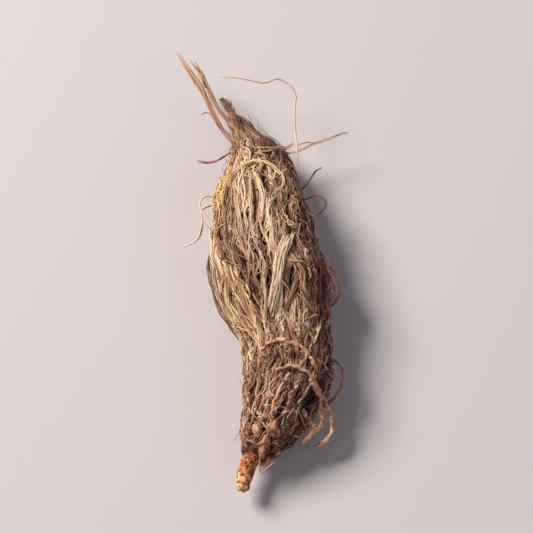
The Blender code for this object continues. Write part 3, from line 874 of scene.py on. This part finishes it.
def makeFlyaways():
    count, stops, middle, start, length, share = planned(flyaways, 7)
    length = length * rng.choice((-1, 1, 1), (count, 1))
    distance = np.clip(middle + length * share, *flyaways["reach"])
    angle = swayed(flyaways, distance, start + rng.normal(0, 2.4, (count, 1)) * share / 8)
    height = rng.gamma(*flyaways["height"], (count, 1)) * share ** drawn((1, 2), count)
    lift = height - flyaways["sunk"] + 0.12 * wiggle(count, stops, 2)
    layOnSheath("flyawayHairs", flyaways, distance, angle, lift)


makeFlyaways()


# Neck hairs: the soft brown coat of the neck, whose ends stand off its upper edge and run into the tuft

neckHairs = {
    "count": 1250, "stops": 9, "along": (64, 77), "length": (4, 10), "width": (0.09, 0.19), "bluntness": 0.3,
    "reach": (55, 83), "sway": (0.25, 1.2), "lift": (-0.3, 0.2), "height": (1.2, 0.3), "ownTone": 0.14,
    "toneShift": 0.07,
}


def makeNeckHairs():
    count, stops, middle, start, length, share = planned(neckHairs, 10)
    distance = np.clip(middle + length * share, *neckHairs["reach"])
    angle = swayed(neckHairs, distance, start + rng.normal(0, 0.25, (count, 1)) * share)
    lift = drawn(neckHairs["lift"], count) + rng.gamma(*neckHairs["height"], (count, 1)) * share**1.5
    layOnSheath("neckHairs", neckHairs, distance, angle, lift + 0.06 * wiggle(count, stops, 2))


makeNeckHairs()


# The strands that can be told apart on this root, most of them through the same stops as the solid's. First comes
# each one's look: how many fibres run side by side, how wide one is and how far they reach to each side, their
# hue, sway and tone, and for some the tone at the last stop and how flat the bundle is. Then come its stops:
# millimetres along the root from its broken end, sideways, and above the sheath

namedStrands = {
    "longTuft": ((10, 0.36, 0.4, 0.66, 0.1, 0.66, 0.86), (70, -3.5, -1), (74, -7.2, 0), (78, -10.1, 0.8),
        (81, -11.5, 1.6), (84.6, -13.3, 2.2), (88.6, -15.9, 2.8), (93, -18.4, 3.2)),
    "middleTuft": ((9, 0.36, 0.38, 0.66, 0.1, 0.62, 0.86), (71, -2.5, -1), (75, -5.6, 0.4), (79, -8.9, 1.4),
        (82, -10.8, 2.2), (86, -12.7, 3.2), (90.4, -15.4, 4)),
    "shortTuft": ((6, 0.22, 0.4, 0.7, 0.2, 0.5), (72, -3.5, -1), (76, -5.2, 0.8), (79.6, -6.8, 2),
        (82, -7.4, 3)),
    "tuftSpur": ((2, 0.32, 0.1, 0.5, 0.08, 0.6, 0.95), (75, -7.6, -0.6), (78.6, -10.8, 0.6), (79.4, -12, 1),
        (78.6, -13.6, 1)),
    "tuftWisp": ((3, 0.16, 0.3, 0.6, 0.3, 0.6), (80, -9.6, 1.4), (84, -12, 3), (88, -13, 4)),
    "neckHook": ((2, 0.4, 0.12, 0.85, 0.1, 0.6), (72, -4.5, -0.8), (70.2, -7.2, 0), (68.5, -9.5, 0.2),
        (67.7, -11.8, 0.6), (67.8, -13.8, 1)),
    "neckKnot": ((3, 0.34, 0.25, 0.48, 0.12, 0.86), (71.2, -3.6, -0.4), (70.7, -4.6, 0.6), (69.9, -4.9, 0.8),
        (68.8, -4, 0.9), (67.4, -3.3, 0.9), (65.6, -3.2, 0.7), (63.6, -4, -0.3)),
    "knotCurl": ((2, 0.3, 0.12, 0.5, 0.12, 0.84), (70, -5.2, 0), (71, -4.2, 1), (70.6, -3.4, 1.3),
        (69.8, -3.7, 1.3), (69.4, -3, 0.9), (68.6, -1.6, -0.2)),
    "leftNeckStrand": ((3, 0.32, 0.25, 0.5, 0.12, 0.8), (69.6, -5.4, -0.3), (67.6, -5.6, 0.7), (65, -5.5, 0.8),
        (62.6, -5.6, -0.2)),
    "upperTwin": ((2, 0.36, 0.16, 0.38, 0.1, 0.84), (69.2, -2.6, -0.8), (68.4, -0.8, 0.9), (68.4, 0.4, 1.1),
        (68.9, 2.6, 1.2), (69.6, 5, 1.3), (70.7, 8.1, 1.5), (72.1, 11.2, 1.9), (73.6, 15, 2.2),
        (74.2, 17.2, 2.4)),
    "lowerTwin": ((2, 0.36, 0.14, 0.34, 0.1, 0.82), (67.2, -3, -0.8), (67.5, -1, 0.7), (67.7, 0.4, 0.8),
        (68.7, 2, 1), (70.2, 3.8, 1.6), (71.8, 5.8, 2)),
    "twinJoin": ((1, 0.3, 0, 0.7, 0.05, 0.72), (71.2, 6.2, 1.5), (71.9, 8, 1.7), (71.8, 9.8, 1.7),
        (71.9, 11.4, 1.9)),
    "airyFibre": ((1, 0.54, 0, 0.62, 0.07, 0.84, 1.0), (62, 6.2, -0.8), (66, 6.4, 0.6), (72.5, 6.2, 1.6),
        (75.7, 5.9, 2), (79.7, 5.8, 2.5), (81.2, 6.15, 2.8), (81.9, 6.2, 2.9), (83.7, 5.4, 3.5),
        (84.1, 5.1, 3.6), (85.3, 3, 4), (85.5, 2.5, 4.2), (85, 1.4, 4.4), (84.2, 0.2, 4.6), (84.3, -1.4, 4.8),
        (84.7, -3.6, 5), (85.2, -6.5, 5), (85.5, -10.2, 5)),
    "leftLoop": ((1, 0.48, 0, 0.5, 0.08, 1.0), (52, -7.6, -0.8), (54.6, -10.8, 0), (57.4, -13, 0.4),
        (59.6, -12, 0.6), (59.2, -8, -0.6)),
    "leftRunner": ((2, 0.4, 0.1, 0.46, 0.08, 1.0), (59, -7.4, -0.8), (57, -12.4, 0), (53.6, -12.5, -1),
        (51.2, -13.6, -2), (49.6, -17.4, -3)),
    "leftEdge": ((4, 0.42, 0.32, 0.4, 0.06, 1.0), (55, -8.4, -0.6), (52, -10.6, 0.4), (49, -10.5, 0.8),
        (46.4, -10.4, 0.6), (43.6, -9, -0.6)),
    "arch": ((4, 0.34, 0.26, 0.22, 0.1, 0.93), (59.4, -8.6, 0), (61.8, -7.1, 0.6), (64, -4.6, 0.8),
        (64.8, -1.8, 0.9), (63.8, 0.9, 0.9), (61, 3.4, 1), (58.6, 3.4, 1.1), (56.8, 1.8, 1), (55.6, 0.5, 0.1)),
    "archLump": ((6, 0.4, 0.35, 0.2, 0.12, 0.92), (65.2, -2.6, 0.4), (64.7, -1.6, 1.1), (63.6, -0.8, 1.1),
        (62.6, -1.2, 0.2)),
    "middleCross": ((2, 0.36, 0.12, 0.42, 0.08, 0.9), (42.6, 3.4, -0.5), (41.7, 5.2, 0.9), (41.9, 7.2, 0.9),
        (41, 10, -0.6)),
    "uprightEdge": ((5, 0.36, 0.4, 0.18, 0.07, 0.84, 0.98, 0.4), (24.4, 8.2, -0.6), (26.6, 9, 1),
        (29.4, 9.8, 1.5), (33.2, 10.6, 1.8)),
    "edgeTip": ((3, 0.34, 0.24, 0.58, 0.07, 0.66, 0.92, 0.5), (27, 9.6, -0.6), (30, 10.7, 0.4), (32, 11.5, 0.6),
        (33, 12.4, 0.7), (33.7, 13.6, 0.8)),
    "edgeFork": ((1, 0.36, 0, 0.5, 0.08, 0.7, 0.9), (31.6, 11.4, 0.5), (33.4, 12.2, 0.7), (34.4, 12.8, 0.8)),
    "bulgeStraps": ((5, 0.34, 0.55, 0.8, 0.1, 0.66), (37, 5.6, -0.5), (34.7, 6.1, 0.7), (32.6, 6.5, 0.8),
        (30.7, 7.2, 0.8), (28.4, 8, -0.4)),
    "outerNet": ((3, 0.3, 0.3, 0.75, 0.22, 0.74), (48.6, 8.4, -0.8), (46.8, 10, 0.4), (44, 12.5, 0.8),
        (41.2, 13.9, 0.8), (38.8, 14.7, 0.6), (37, 13.4, 0.2), (35.6, 10.6, -0.8)),
    "middleNet": ((3, 0.28, 0.3, 0.85, 0.25, 0.7), (45.5, 8.8, -0.6), (43.2, 11.4, 1.2), (40.6, 13.2, 1.4),
        (38, 13.2, 1), (35, 10, -0.8)),
    "innerNet": ((3, 0.28, 0.35, 0.8, 0.25, 0.7), (50, 8.6, -0.6), (46.4, 11.2, 1), (42.4, 12.6, 2),
        (38.6, 12, 1.4), (36, 9.6, -0.6)),
    "farLoop": ((2, 0.32, 0.2, 0.8, 0.2, 0.62), (28, 9.6, -0.8), (25.4, 13.4, 0.2), (22.6, 14.6, 0.2),
        (19, 14, 0), (15.4, 9.6, -0.8)),
    # the two fringes on the left are given low tones as painted shade
    "outerFringe": ((5, 0.26, 0.4, 0.36, 0.14, 0.58), (50, -9, -0.8), (46.4, -11, 0.2), (41.4, -10.7, 0),
        (37, -9.4, 0), (33, -7.2, 0), (29, -4, -0.6)),
    "innerFringe": ((4, 0.28, 0.35, 0.36, 0.14, 0.68), (47, -8.8, -0.6), (42.6, -10.1, 0.8), (37, -8.4, 1),
        (31, -4.6, -0.5)),
    "shoulderCurl": ((1, 0.42, 0, 0.95, 0.1, 0.55), (61, 6.4, -0.6), (63.6, 8.8, 0.4), (65.6, 10, 0.8),
        (66.4, 11.4, 1.2)),
    "shoulderCrook": ((1, 0.46, 0, 0.98, 0.1, 0.56), (59, 7, -0.6), (60, 10.2, 0.4), (57.6, 12, 0.6),
        (55, 9.4, -0.4)),
    "stubWhisker": ((2, 0.34, 0.08, 0.6, 0.06, 0.6, 0.85), (8.4, -0.6, -0.4), (5.4, -1.1, 0.9), (3.2, -0.8, 1.1),
        (4.2, 0.4, 1), (5.8, 2, 0.8)),
    "collarSlant": ((3, 0.34, 0.22, 0.6, 0.08, 0.84), (15.4, -3.2, -0.3), (14.5, -2.3, 0.8), (13.5, -1.4, 0.9),
        (12.7, -0.2, 0.8), (12, 0.8, -0.3)),
    "ballStrand": ((2, 0.32, 0.16, 0.6, 0.08, 0.8), (12.8, -1.8, -0.3), (11.9, -1, 0.8), (11.1, -0.1, 0.9),
        (10.4, 0.6, 0.2)),
    "hollowStrand": ((2, 0.34, 0.14, 0.85, 0.06, 0.72), (10.6, -4.8, 0), (9.7, -3.9, 1), (8.9, -3.1, 1.2),
        (8.2, -2.2, 1.2), (7.4, -1.4, 0.4)),
    "webLoop": ((2, 0.36, 0.12, 0.55, 0.14, 0.84), (22, 9, -0.4), (19.8, 8.8, 1), (17.8, 8, 1.1), (16.2, 7, 1.1),
        (14.7, 5.6, 0.9), (13.8, 4, -0.2)),
    "webStrand": ((1, 0.36, 0, 0.6, 0.15, 0.8), (16.6, 3.2, -0.4), (15.3, 4.6, 0.9), (13.8, 6.2, 0.9),
        (12.2, 7.6, 0.9), (11, 8.6, -0.4)),
    "bellyWisp": ((4, 0.26, 0.5, 0.4, 0.3, 0.85), (40, -2, -0.8), (43.4, -3, 0.9), (46.4, -3.2, 2.6),
        (48.6, -2.4, 3.6)),
    "shoulderWisp": ((4, 0.26, 0.5, 0.45, 0.3, 0.8), (55, 3, -0.8), (52, 3.6, 1), (49.4, 4.6, 2.6),
        (48, 6, 3.6)),
    "blade": ((9, 0.42, 0.88, 0.38, 0.12, 1.02, 1.02, 0.3), (48.6, 4.7, -0.4), (47, 4.2, 0.9), (43.7, 3.1, 1.2),
        (40, 2.4, 1.2), (36.4, 2, 0.9), (33.6, 1.3, 0.6), (31.2, 0.6, -0.3)),
    "bladeFork": ((3, 0.34, 0.3, 0.4, 0.06, 0.92, 0.92, 0.3), (49.4, 5.6, -0.4), (47.6, 5.1, 0.8), (45, 4.5, 1),
        (42.4, 3.6, 0.8), (40, 2.8, 0)),
    "longPale": ((2, 0.32, 0.14, 0.46, 0.1, 0.92), (41, -0.5, -0.3), (38.4, -0.3, 0.8), (35, -0.1, 0.9),
        (32, 0, 0.8), (29.4, 0.4, -0.3)),
    "brownStrap": ((4, 0.36, 0.36, 0.42, 0.1, 0.55, 0.55, 0.5), (41, 7, -0.3), (38.6, 6, 0.8), (36, 5.2, 0.9),
        (33.6, 4.3, 0.7), (31.4, 3.5, -0.3)),
    "paleCrest": ((6, 0.4, 0.5, 0.56, 0.1, 0.9, 0.9, 0.5), (63.6, -2.6, -0.9), (61.6, -2.2, -0.1),
        (59.2, -1.3, 0.7), (56, -0.7, 0.9), (52.4, -0.8, 0.7), (48, -1.6, -0.7)),
    "leftCrest": ((4, 0.36, 0.3, 0.46, 0.12, 0.88), (64, -3.4, -0.9), (61.6, -3, 0.1), (59, -2.9, 0.7),
        (55, -2.7, 0.9), (51, -2.7, 0.7), (46.6, -2.2, -0.7)),
    "sideStrap": ((4, 0.34, 0.4, 0.42, 0.12, 0.84, 0.84, 0.4), (64, -5.8, -0.4), (60, -6, 0.6), (55, -5.6, 0.8),
        (50.6, -5, 0.6), (46, -4.6, -0.3)),
}

bundles = {"stops": 30, "trim": 0.14}


def lineThrough(stops, count):
    # the smooth line through the stops of one strand, the directions across it and its length
    stops = np.array(stops, float)
    run = np.concatenate([[0], np.cumsum(np.linalg.norm(np.diff(stops, axis=0), axis=1))])
    line = smoothLine(np.column_stack([run, stops]), np.linspace(0, run[-1], count))
    centre = seenFromAbove(*line.T)
    heading = np.gradient(centre, axis=0)
    heading /= np.linalg.norm(heading, axis=1)[:, None]
    aside = np.cross(heading, (0, 0, 1))
    aside /= np.linalg.norm(aside, axis=1)[:, None]
    return centre, aside, np.cross(aside, heading), run[-1]


def bundleAlong(stops, fibres, width, reach, hue, sway, tone, tipTone=None, flat=1):
    # paths, widths, tones and hues of the fibres of one named strand
    count = bundles["stops"]
    centre, aside, above, run = lineThrough(stops, count)
    share = np.linspace(0, 1, count)
    place = (np.arange(fibres)[:, None] + 0.5) / fibres * 2 - 1
    if flat < 1:
        out, up = place + 0 * share, flat * drawn((-1, 1), fibres) + 0 * share
    else:
        turn = place * math.pi + rng.uniform(-2, 2) * share + 0.3 * wiggle(fibres, count, 1)
        away = np.sqrt(drawn((0.1, 1), fibres)) * (1 + 0.25 * wiggle(fibres, count, 1))
        out, up = away * np.cos(turn), away * np.sin(turn)
    waves = max(1.5, run / 7)
    out = reach * out + sway * wiggle(fibres, count, waves)
    up = reach * up + sway * wiggle(fibres, count, waves)
    paths = centre + out[..., None] * aside + up[..., None] * above
    trim = bundles["trim"] if fibres > 2 else 0.02
    paths = trimmed(paths, drawn((0, trim), fibres), 1 - drawn((0, trim), fibres))
    widths = width * drawn((0.75, 1.1), fibres) * taper(count, 0.2)
    tones = between((tone, tone if tipTone is None else tipTone), share)
    tones = tones + rng.normal(0, 0.08, (fibres, 1)) + 0.06 * wiggle(fibres, count, waves)
    return paths, widths, np.maximum(tones, 0.05), hue + rng.normal(0, 0.05, (fibres, 1))


def makeNamedStrands():
    made = [bundleAlong(stops, *look) for look, *stops in namedStrands.values()]
    fibrePiece("namedStrands", *(np.concatenate(values) for values in zip(*made)))


makeNamedStrands()


# Side rootlets: thick and knobbly, across the lower third, with blunt broken ends. Each has its width at the first
# stop and at the last, and then its stops

rootlets = {
    "lowerCross": ((0.7, 0.85), (24.4, -1.6, -0.2), (26.3, 0.6, 1.3), (26.6, 3, 1.4), (25.8, 5.8, 1.4),
        (24.2, 8, 1.4), (22.6, 9, 1.2), (21.2, 9.6, -0.2)),
    "lowerCrossThin": ((0.5, 0.4), (29.4, 9.4, -0.4), (26.8, 8.7, 1.2), (24.2, 8, 1.3), (22.2, 6.8, 1.1),
        (21.4, 5.4, -0.2)),
    "rootlet": ((0.5, 0.95), (20, -1.8, -0.2), (20.9, 2.2, 1.3), (21.2, 5.4, 1.5), (20.4, 7.8, 1.5),
        (18.2, 10.4, 1.2), (15.2, 12.2, 0.4), (12.2, 12.7, -0.3), (9.9, 11.4, -0.8), (9, 9.2, -1)),
    "rootletFork": ((1.25, 1.0), (19.8, 8.2, 0.8), (17.8, 10, 1.3), (14.8, 10.6, 1.2), (12.6, 10.6, 0.8),
        (11.2, 9.8, 0.6)),
    "rootletArm": ((0.8, 0.95), (14.6, 7, 1), (12.6, 8.7, 1.1), (11.4, 10.4, 0.9)),
    "rootletSpur": ((0.95, 0.75), (12.2, 9.4, 1), (10.4, 8.6, 0.9), (8.9, 6.9, 1)),
}

rootletSkin = {
    "stops": 64, "sides": 10, "kinks": 0.15, "swelling": 0.09, "roughness": 0.09, "grain": 0.6, "lump": 1.7,
}


def makeRootlets():
    paths, widths = [], []
    for ends, *stops in rootlets.values():
        centre, aside, above, run = lineThrough(stops, rootletSkin["stops"])
        for direction in (aside, above):
            centre = centre + rootletSkin["kinks"] * wiggle(1, len(centre), run / 3.5).T * direction
        swelling = 1 + rootletSkin["swelling"] * wiggle(1, len(centre), run / 2.5)[0]
        paths.append(centre)
        widths.append(np.linspace(*ends, len(centre)) * swelling * taper(len(centre), 0.04))
    data = strandMesh("sideRootlets", np.array(paths), np.array(widths), rootletSkin["sides"])
    data.uv_layers.remove(data.uv_layers[0])
    bm = welded(data)
    bm.normal_update()
    wearAndPaintedLightLayer = bm.verts.layers.float.new("rubbed")
    for vertex in bm.verts:
        wrinkle = noise.noise(vertex.co / (rootletSkin["grain"] * mm))
        lump = noise.noise(vertex.co / (rootletSkin["lump"] * mm) + Vector((4, 0, 0)))
        vertex.co += vertex.normal * rootletSkin["roughness"] * (wrinkle + lump) * mm
        vertex[wearAndPaintedLightLayer] = 0.72 + 0.4 * wrinkle + 0.4 * lump
    finishPiece(bm, "sideRootlets", sideRootMaterial)
    print("sideRootlets made")


makeRootlets()


# Yellow tangle: the patch of short yellow fibres on the upper left shoulder

yellowTangle = {
    "count": 190, "stops": 14, "along": (56, 62.8), "around": (-1.5, -0.8), "length": (1.5, 5),
    "width": (0.18, 0.36), "size": (0.15, 0.6), "turns": (0.4, 1.4), "lift": (0.1, 1.0), "uneven": (0.2, 1.5),
    "dip": (0.9, 0.15), "tone": (0.62, 1.0), "hue": (1.2, 0.09),
}


def makeYellowTangle():
    count, stops = yellowTangle["count"], yellowTangle["stops"]
    middle, start = scattered(yellowTangle, 11)
    share = np.linspace(0, 1, stops)
    size = drawn(yellowTangle["size"], count)
    swing = math.tau * drawn(yellowTangle["turns"], count) * share + drawn((0, math.tau), count)
    distance = middle + drawn(yellowTangle["length"], count) * (share - 0.5) + size * np.sin(swing)
    angle = start + size * np.cos(swing) / acrossOne(distance, -1.2)
    lift = lifted(yellowTangle, count, stops)
    widths = drawn(yellowTangle["width"], count) * taper(stops)
    tones = drawn(yellowTangle["tone"], count) + 0.08 * wiggle(count, stops, 1.5)
    hues = rng.gamma(*yellowTangle["hue"], (count, 1))
    fibrePiece("yellowTangle", onSheath(distance, angle, lift), widths, tones, hues)


makeYellowTangle()


# The broken root end: a woody peg with tilted growth rings and a pitted skin, and a pale tip with slanting creases

stub = {
    "around": 80,
    "along": 170,
    "length": 11.5,  # of which the last stretch is inside the sheath
    "width": 3.55,
    "tipShare": 0.72,
    "widening": 0.5,
    "tipSide": -4.25,
    "lean": 5.0,
    "height": 4.7,
    "rise": 0.9,
    "rings": 9,
    "ringHeight": 0.02,
    "ringTilt": 0.5,
    "cellSize": 0.85,  # of the pits in its skin
    "netWidth": 0.36,
    "netHeight": 0.12,
    "paleTip": 0.3,  # share of the length
    "creasePitch": 1.0,
    "creaseWidth": 0.17,
    "creaseDepth": 0.14,
}


def makeStub():
    bm = bmesh.new()
    bmesh.ops.create_uvsphere(bm, u_segments=stub["around"], v_segments=stub["along"], radius=1)
    wearAndPaintedLightLayer = bm.verts.layers.float.new("rubbed")
    for vertex in bm.verts:
        along = 1 - math.acos(max(-1, min(1, vertex.co.z))) / math.pi
        angle = math.atan2(vertex.co.y, vertex.co.x)
        outward = Vector((math.cos(angle), math.sin(angle), 0))
        uneven = noise.noise(outward * 1.3 + Vector((0, 0, along * 9)))
        toEnd = min(1, along / 0.05, (1 - along) / 0.1)
        closing = math.sqrt(1 - (1 - toEnd) ** 2) * math.sqrt(1 - (1 - min(1, 0.3 + along / 0.15)) ** 2)
        widening = min(1, stub["tipShare"] + (1 - stub["tipShare"]) * along / stub["widening"])
        smooth = stub["width"] / 2 * closing * widening
        distance = along * stub["length"]
        spot = Vector((smooth * math.sin(angle), distance, smooth * math.cos(angle)))
        fray = noise.noise(spot * 1.6 + Vector((3, 0, 0)))

        # rings and pits above, creases at the tip
        atTip = max(0, min(1, (stub["paleTip"] - along + 0.08 * fray) / 0.07))
        tilt = stub["ringTilt"] * math.sin(angle + 0.6)
        ring = math.cos(math.tau * (stub["rings"] * along + tilt + 0.9 * uneven))
        first, second = noise.voronoi(spot / stub["cellSize"])[0][:2]
        net = 1 - min(1, (second - first) / stub["netWidth"])
        slant = (0.6 * spot.x + 0.8 * spot.y) / stub["creasePitch"] + 0.8 * noise.noise(spot * 0.7)
        crease = math.exp(-((((slant + 0.5) % 1 - 0.5) / stub["creaseWidth"]) ** 2))
        crease *= 0.6 + 0.8 * noise.noise(spot * 1.3)
        swell = 0.12 * uneven + 0.08 * fray
        swell += (1 - atTip) * (stub["ringHeight"] * ring + stub["netHeight"] * (net - 0.5))
        swell -= stub["creaseDepth"] * atTip * crease
        # the -sin(angle) terms darken the right side of the skin and of the pale tip: painted shade
        skin = 0.47 + 0.28 * net + 0.05 * ring + 0.25 * fray - 0.16 * math.sin(angle)
        paleEnd = 0.95 - 0.6 * crease + 0.3 * fray - 0.25 * math.sin(angle)
        vertex[wearAndPaintedLightLayer] = skin * (1 - atTip) + paleEnd * atTip
        radius = smooth * (1 + swell)
        side = stub["tipSide"] + stub["lean"] * along**2 - root["restSide"]
        height = stub["height"] + stub["rise"] * along
        back = max(distance + 0.35 * fray * (1 - toEnd) - root["restDistance"], lowCorner[1] / mm)
        vertex.co = Vector((side + radius * math.sin(angle), back, height + radius * math.cos(angle))) * mm
    bmesh.ops.recalc_face_normals(bm, faces=bm.faces)
    finishPiece(bm, "brokenEnd", woodMaterial)


makeStub()
print("broken end made")


# Knobs round the collar: the stumps of old leaf bases, wrinkled along the root, with fibres drawn over them

# those that can be told apart: millimetres along the root and sideways, length, width, lean and how worn
namedKnobs = {
    "ball": (10.8, 1.9, 4.0, 2.8, 0.2, 0.42),
    "longKnob": (8.0, -0.1, 4.8, 2.0, 0.15, 0.62),
    "leftLump": (13.8, -2.5, 3.8, 2.4, -0.2, 0.66),
    "paleLump": (10.8, -1.7, 2.8, 2.2, 0.3, 0.76),
    "edgeLump": (10.2, -3.9, 3.6, 1.7, 0.1, 0.6),
    "middleLump": (13.0, 0.2, 3.0, 1.8, 0.3, 0.44),
    "rightLump": (9.0, 3.9, 3.6, 1.6, -0.3, 0.42),
    "crescent": (9.2, 2.8, 2.4, 1.3, 0.5, 0.66),
    "slimKnob": (15.2, -0.6, 3.4, 1.5, -0.3, 0.5),
}
knobs = {
    # laid by rule, round the underside and then between the named ones: how many, where round the root, sizes
    "rules": [(12, (1.6, 4.7), (0.8, 1.2)), (14, (-1.5, 1.3), (0.4, 0.75))],
    "stretch": (7.6, 13.5),
    "length": 4.2,
    "width": 2.7,
    "rubbed": 0.34,
    "segments": (36, 18),
    "lowest": 0.02,
}


def addKnob(bm, number, distance, angle, length, width, lean, rubbed):
    # one lump, laid along the root and half sunk in it
    here, ahead = (Vector(onSheath(np.array(distance + step), np.array(angle), 0.0)) for step in (0, 1.5))
    forward = (ahead - here).normalized()
    aside = forward.cross(Vector((math.sin(angle), 0, math.cos(angle)))).normalized()
    turned = Matrix((aside, forward, aside.cross(forward))).transposed().to_4x4() @ Matrix.Rotation(lean, 4, "Z")
    around, along = knobs["segments"]
    made = bmesh.ops.create_uvsphere(bm, u_segments=around, v_segments=along, radius=0.5)
    wearAndPaintedLightLayer = bm.verts.layers.float["rubbed"]
    for vertex in made["verts"]:
        # the sphere's poles lie along the root
        spot = Vector((vertex.co.x, vertex.co.z, vertex.co.y))
        fold = noise.noise(Vector((spot.x * 13, spot.y * 2.5, number)))
        lump = noise.noise(spot * 2.6 + Vector((number, 3, 1)))
        # paler where it stands out, as wear, and paler on the left and darker on the right as painted light and
        # shade
        vertex[wearAndPaintedLightLayer] = rubbed + 0.6 * fold + 0.4 * lump - 0.5 * spot.x
        spot *= 1 + 0.2 * fold + 0.22 * lump
        spot.x *= width * (1 - 0.3 * spot.y)
        spot.y *= length
        spot.z *= width * 0.85
        vertex.co = (here + turned @ spot) * mm
        vertex.co.z = max(vertex.co.z, knobs["lowest"] * mm)


def makeKnobs():
    bm = bmesh.new()
    bm.verts.layers.float.new("rubbed")
    for number, (distance, side, length, width, lean, rubbed) in enumerate(namedKnobs.values()):
        shift, halfWidth = section(distance)[::2]
        angle = math.asin(max(-1, min(1, (side - root["restSide"] - shift) / halfWidth)))
        addKnob(bm, number, distance, angle, length, width, lean, rubbed)
    rules = [rule for count, *rule in knobs["rules"] for _ in range(count)]
    for i, (around, sizes) in enumerate(rules):
        distance, angle = between(knobs["stretch"], i * 0.755 % 1), between(around, i * 0.618 % 1)
        length, width = (knobs[side] * between(sizes, i * 0.4 % 1) for side in ("length", "width"))
        addKnob(bm, 10 + i, distance, angle, length, width, i % 3 - 1, knobs["rubbed"])
    bmesh.ops.recalc_face_normals(bm, faces=bm.faces)
    finishPiece(bm, "collarKnobs", stumpMaterial)


makeKnobs()
print("collar knobs made")


# Floor, lights and camera

def makeFloor():
    bm = bmesh.new()
    bmesh.ops.create_grid(bm, x_segments=1, y_segments=1, size=1.5)
    paper = {"Base Color": linear("#D2CDD0"), "Roughness": 0.9}
    floor = meshObject(bm, "floor", newMaterial("paleStudioPaper", paper)[0])


def aimAt(thing, target):
    thing.rotation_euler = (Vector(target) - thing.location).to_track_quat("-Z", "Y").to_euler()


lights = {
    "windowLight": {"place": (-0.62, 0.34, 0.7), "size": 0.46, "power": 12.8, "colour": "#FFF7EE"},
    "fillLight": {"place": (0.6, -0.4, 0.6), "size": 0.7, "power": 1.2, "colour": "#F2F4FF"},
}


def makeLights():
    for name, settings in lights.items():
        light = bpy.data.lights.new(name, "AREA")
        light.shape = "DISK"
        light.size, light.energy = settings["size"], settings["power"]
        light.color = linear(settings["colour"])[:3]
        lamp = addObject(name, light)
        lamp.location = settings["place"]
        aimAt(lamp, (0, 0, 0.01))
    world = bpy.data.worlds.new("studio")
    bpy.context.scene.world = world
    world.use_nodes = True
    background = world.node_tree.nodes["Background"].inputs
    background["Color"].default_value = linear("#E6E6EC")
    background["Strength"].default_value = 0.17


camera = {"elevation": 66.0, "distance": 0.42, "lens": 145.0, "target": (-0.001, 0.004, 0.008)}


def makeCamera():
    data = bpy.data.cameras.new("camera")
    data.lens = camera["lens"]
    eye = addObject("camera", data)
    up = math.radians(camera["elevation"])
    eye.location = Vector(camera["target"]) + Vector((0, -math.cos(up), math.sin(up))) * camera["distance"]
    aimAt(eye, camera["target"])
    bpy.context.scene.camera = eye


makeFloor()
makeLights()
makeCamera()
bpy.context.scene.view_settings.view_transform = "Standard"
print("stage set")
